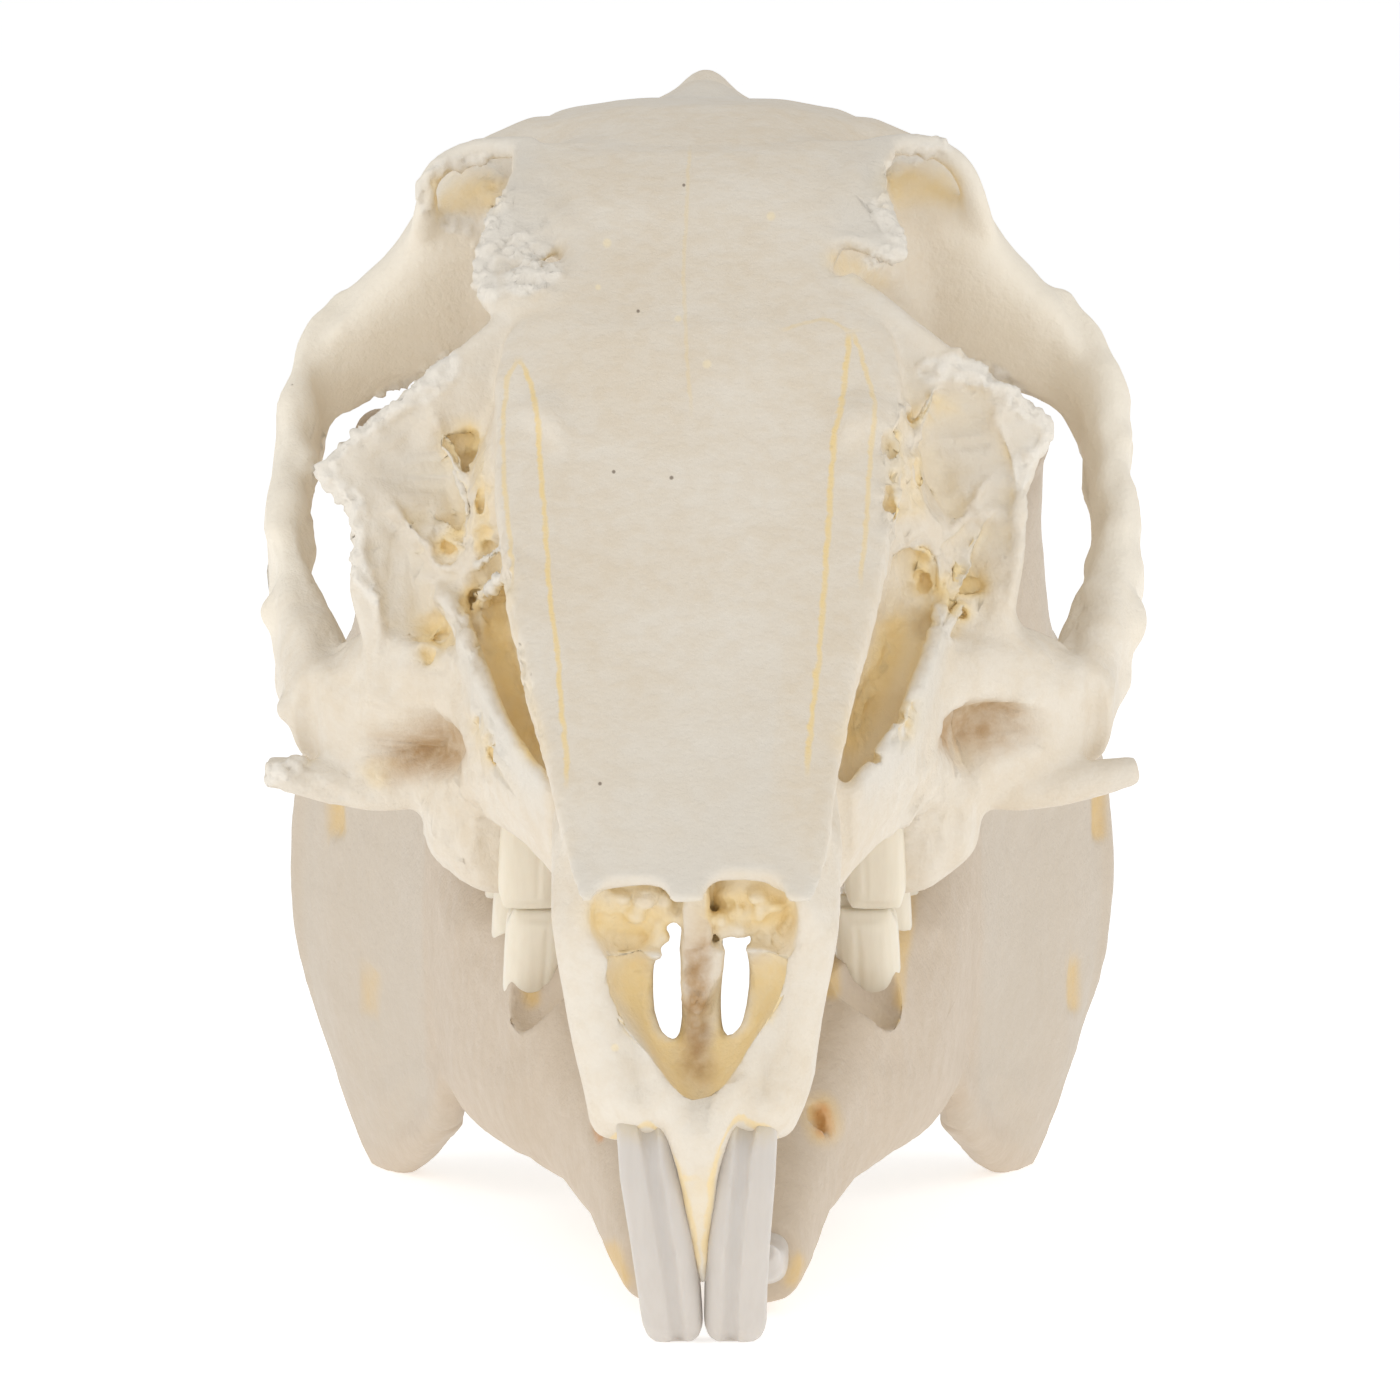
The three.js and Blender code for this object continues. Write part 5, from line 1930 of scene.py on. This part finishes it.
CRANIUM_BONE = BoneFinish(
    name="cranium_bone",
    ivory=colour(227, 218, 203),
    cream=colour(220, 206, 184),
    thin=colour(220, 214, 203),
    amber=colour(238, 222, 188),
    umber=colour(237, 209, 146),
    brown=colour(174, 136, 86),
    chalk=colour(230, 223, 211),
    fair=colour(243, 234, 217),
    soak=0.3,
    seams=SEAMS,
    spots=YELLOW_SPOTS,
    specks=DARK_SPECKS,
)

JAW_BONE = BoneFinish(
    name="jaw_bone",
    ivory=colour(203, 187, 167),
    cream=colour(197, 180, 158),
    thin=colour(201, 190, 174),
    amber=colour(212, 194, 162),
    umber=colour(222, 186, 112),
    brown=colour(204, 142, 78),
    chalk=colour(218, 210, 198),
    fair=colour(203, 187, 167),
    soak=0.75,
)

ENAMEL = EnamelFinish(
    name="enamel",
    white=colour(204, 197, 189),
    grey=colour(197, 189, 180),
    stain=colour(204, 186, 150),
)

CHEEK_ENAMEL = EnamelFinish(
    name="cheek_enamel",
    white=colour(232, 223, 204),
    grey=colour(222, 211, 190),
    stain=colour(218, 190, 134),
)


@dataclass
class Studio:
    """Pale floor, soft light and the camera."""

    floor_size: float = 80.0
    sky: float = 0.58
    front_watts: float = 3.3
    side_watts: float = 1.2

    def build(self) -> None:
        """Adds the floor, the lights and the camera."""
        bpy.ops.mesh.primitive_plane_add(size=self.floor_size)
        floor = bpy.context.active_object
        floor.name = "floor"
        floor.data.materials.append(FloorFinish().material())
        world = bpy.data.worlds.new("soft_white")
        world.use_nodes = True
        background = world.node_tree.nodes["Background"]
        background.inputs["Color"].default_value = (1.0, 1.0, 1.0, 1.0)
        background.inputs["Strength"].default_value = self.sky
        scene = bpy.context.scene
        scene.world = world
        self._lamp("front", (-0.25, -1.6, 0.45), 1.4, self.front_watts)
        self._lamp("left", (-0.55, -0.25, 0.36), 0.6, self.side_watts)
        self._lamp("right", (0.55, -0.25, 0.36), 0.6, self.side_watts)
        scene.camera = PICTURE.camera(REST)
        scene.view_settings.view_transform = "Standard"

    @staticmethod
    def _lamp(name: str, place: Point, size: float, watts: float) -> None:
        """Adds a square soft lamp that faces the skull."""
        aim = Vector((0.0, 0.0, 0.03)) - Vector(place)
        turn = aim.to_track_quat("-Z", "Y").to_euler()
        bpy.ops.object.light_add(type="AREA", location=place, rotation=turn)
        lamp = bpy.context.active_object
        lamp.name = name
        lamp.data.size = size
        lamp.data.energy = watts


def lay(clay: Clay, material: bpy.types.Material) -> None:
    """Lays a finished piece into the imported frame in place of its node.

    Args:
        clay: The piece, named after its node.
        material: Its material.
    """
    piece = clay.done().body
    piece.name = f"{clay.name}_surface"
    mesh = piece.data
    mesh.transform(REST.matrix())
    places = np.empty(len(mesh.vertices) * 3, dtype=np.float32)
    mesh.vertices.foreach_get("co", places)
    places[2::3] = np.maximum(places[2::3], 0.0)
    mesh.vertices.foreach_set("co", places)
    mesh.update()
    mesh.materials.clear()
    mesh.materials.append(material)
    clay.activate()
    bpy.ops.object.shade_smooth()
    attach(piece, BODY)
    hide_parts(clay.name)
    log.info("%s: %d triangles", clay.name, sum(len(face.vertices) - 2 for face in mesh.polygons))


def stain_roots(clay: Clay, low: float, high: float) -> None:
    """Stores how far up a tooth each point lies, for the stain near its socket.

    Args:
        clay: The tooth.
        low: Height where the stain starts.
        high: Height where it is full.
    """
    skin = Skin(clay)
    skin.paint("root", ramp(skin.points[:, 2], low, high - low))


def build_bones() -> None:
    """Models the cranium and the two jaw halves."""
    cranium = Cranium()
    skin = cranium.build()
    cranium.dress(skin)
    lay(skin, CRANIUM_BONE.material())
    jaw_bone = JAW_BONE.material()
    for side in Side:
        jaw = LowerJaw(side)
        skin = jaw.build()
        jaw.dress(skin)
        lay(skin, jaw_bone)


def build_teeth() -> None:
    """Models all the teeth."""
    enamel = ENAMEL.material()
    for side in Side:
        incisor = UpperIncisor(side).build()
        stain_roots(incisor, *INCISOR_STAIN)
        lay(incisor, enamel)
        for tooth in (PegTooth(side), LowerIncisor(side)):
            lay(tooth.build(), enamel)
    cheek_enamel = CHEEK_ENAMEL.material()
    for clay in CheekTeeth().build():
        lay(clay, cheek_enamel)


def main() -> None:
    """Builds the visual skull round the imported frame."""
    logging.basicConfig(level=logging.INFO, format="%(message)s")
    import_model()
    bpy.ops.object.select_all(action="DESELECT")
    build_bones()
    build_teeth()
    Studio().build()


if __name__ == "__main__":
    main()
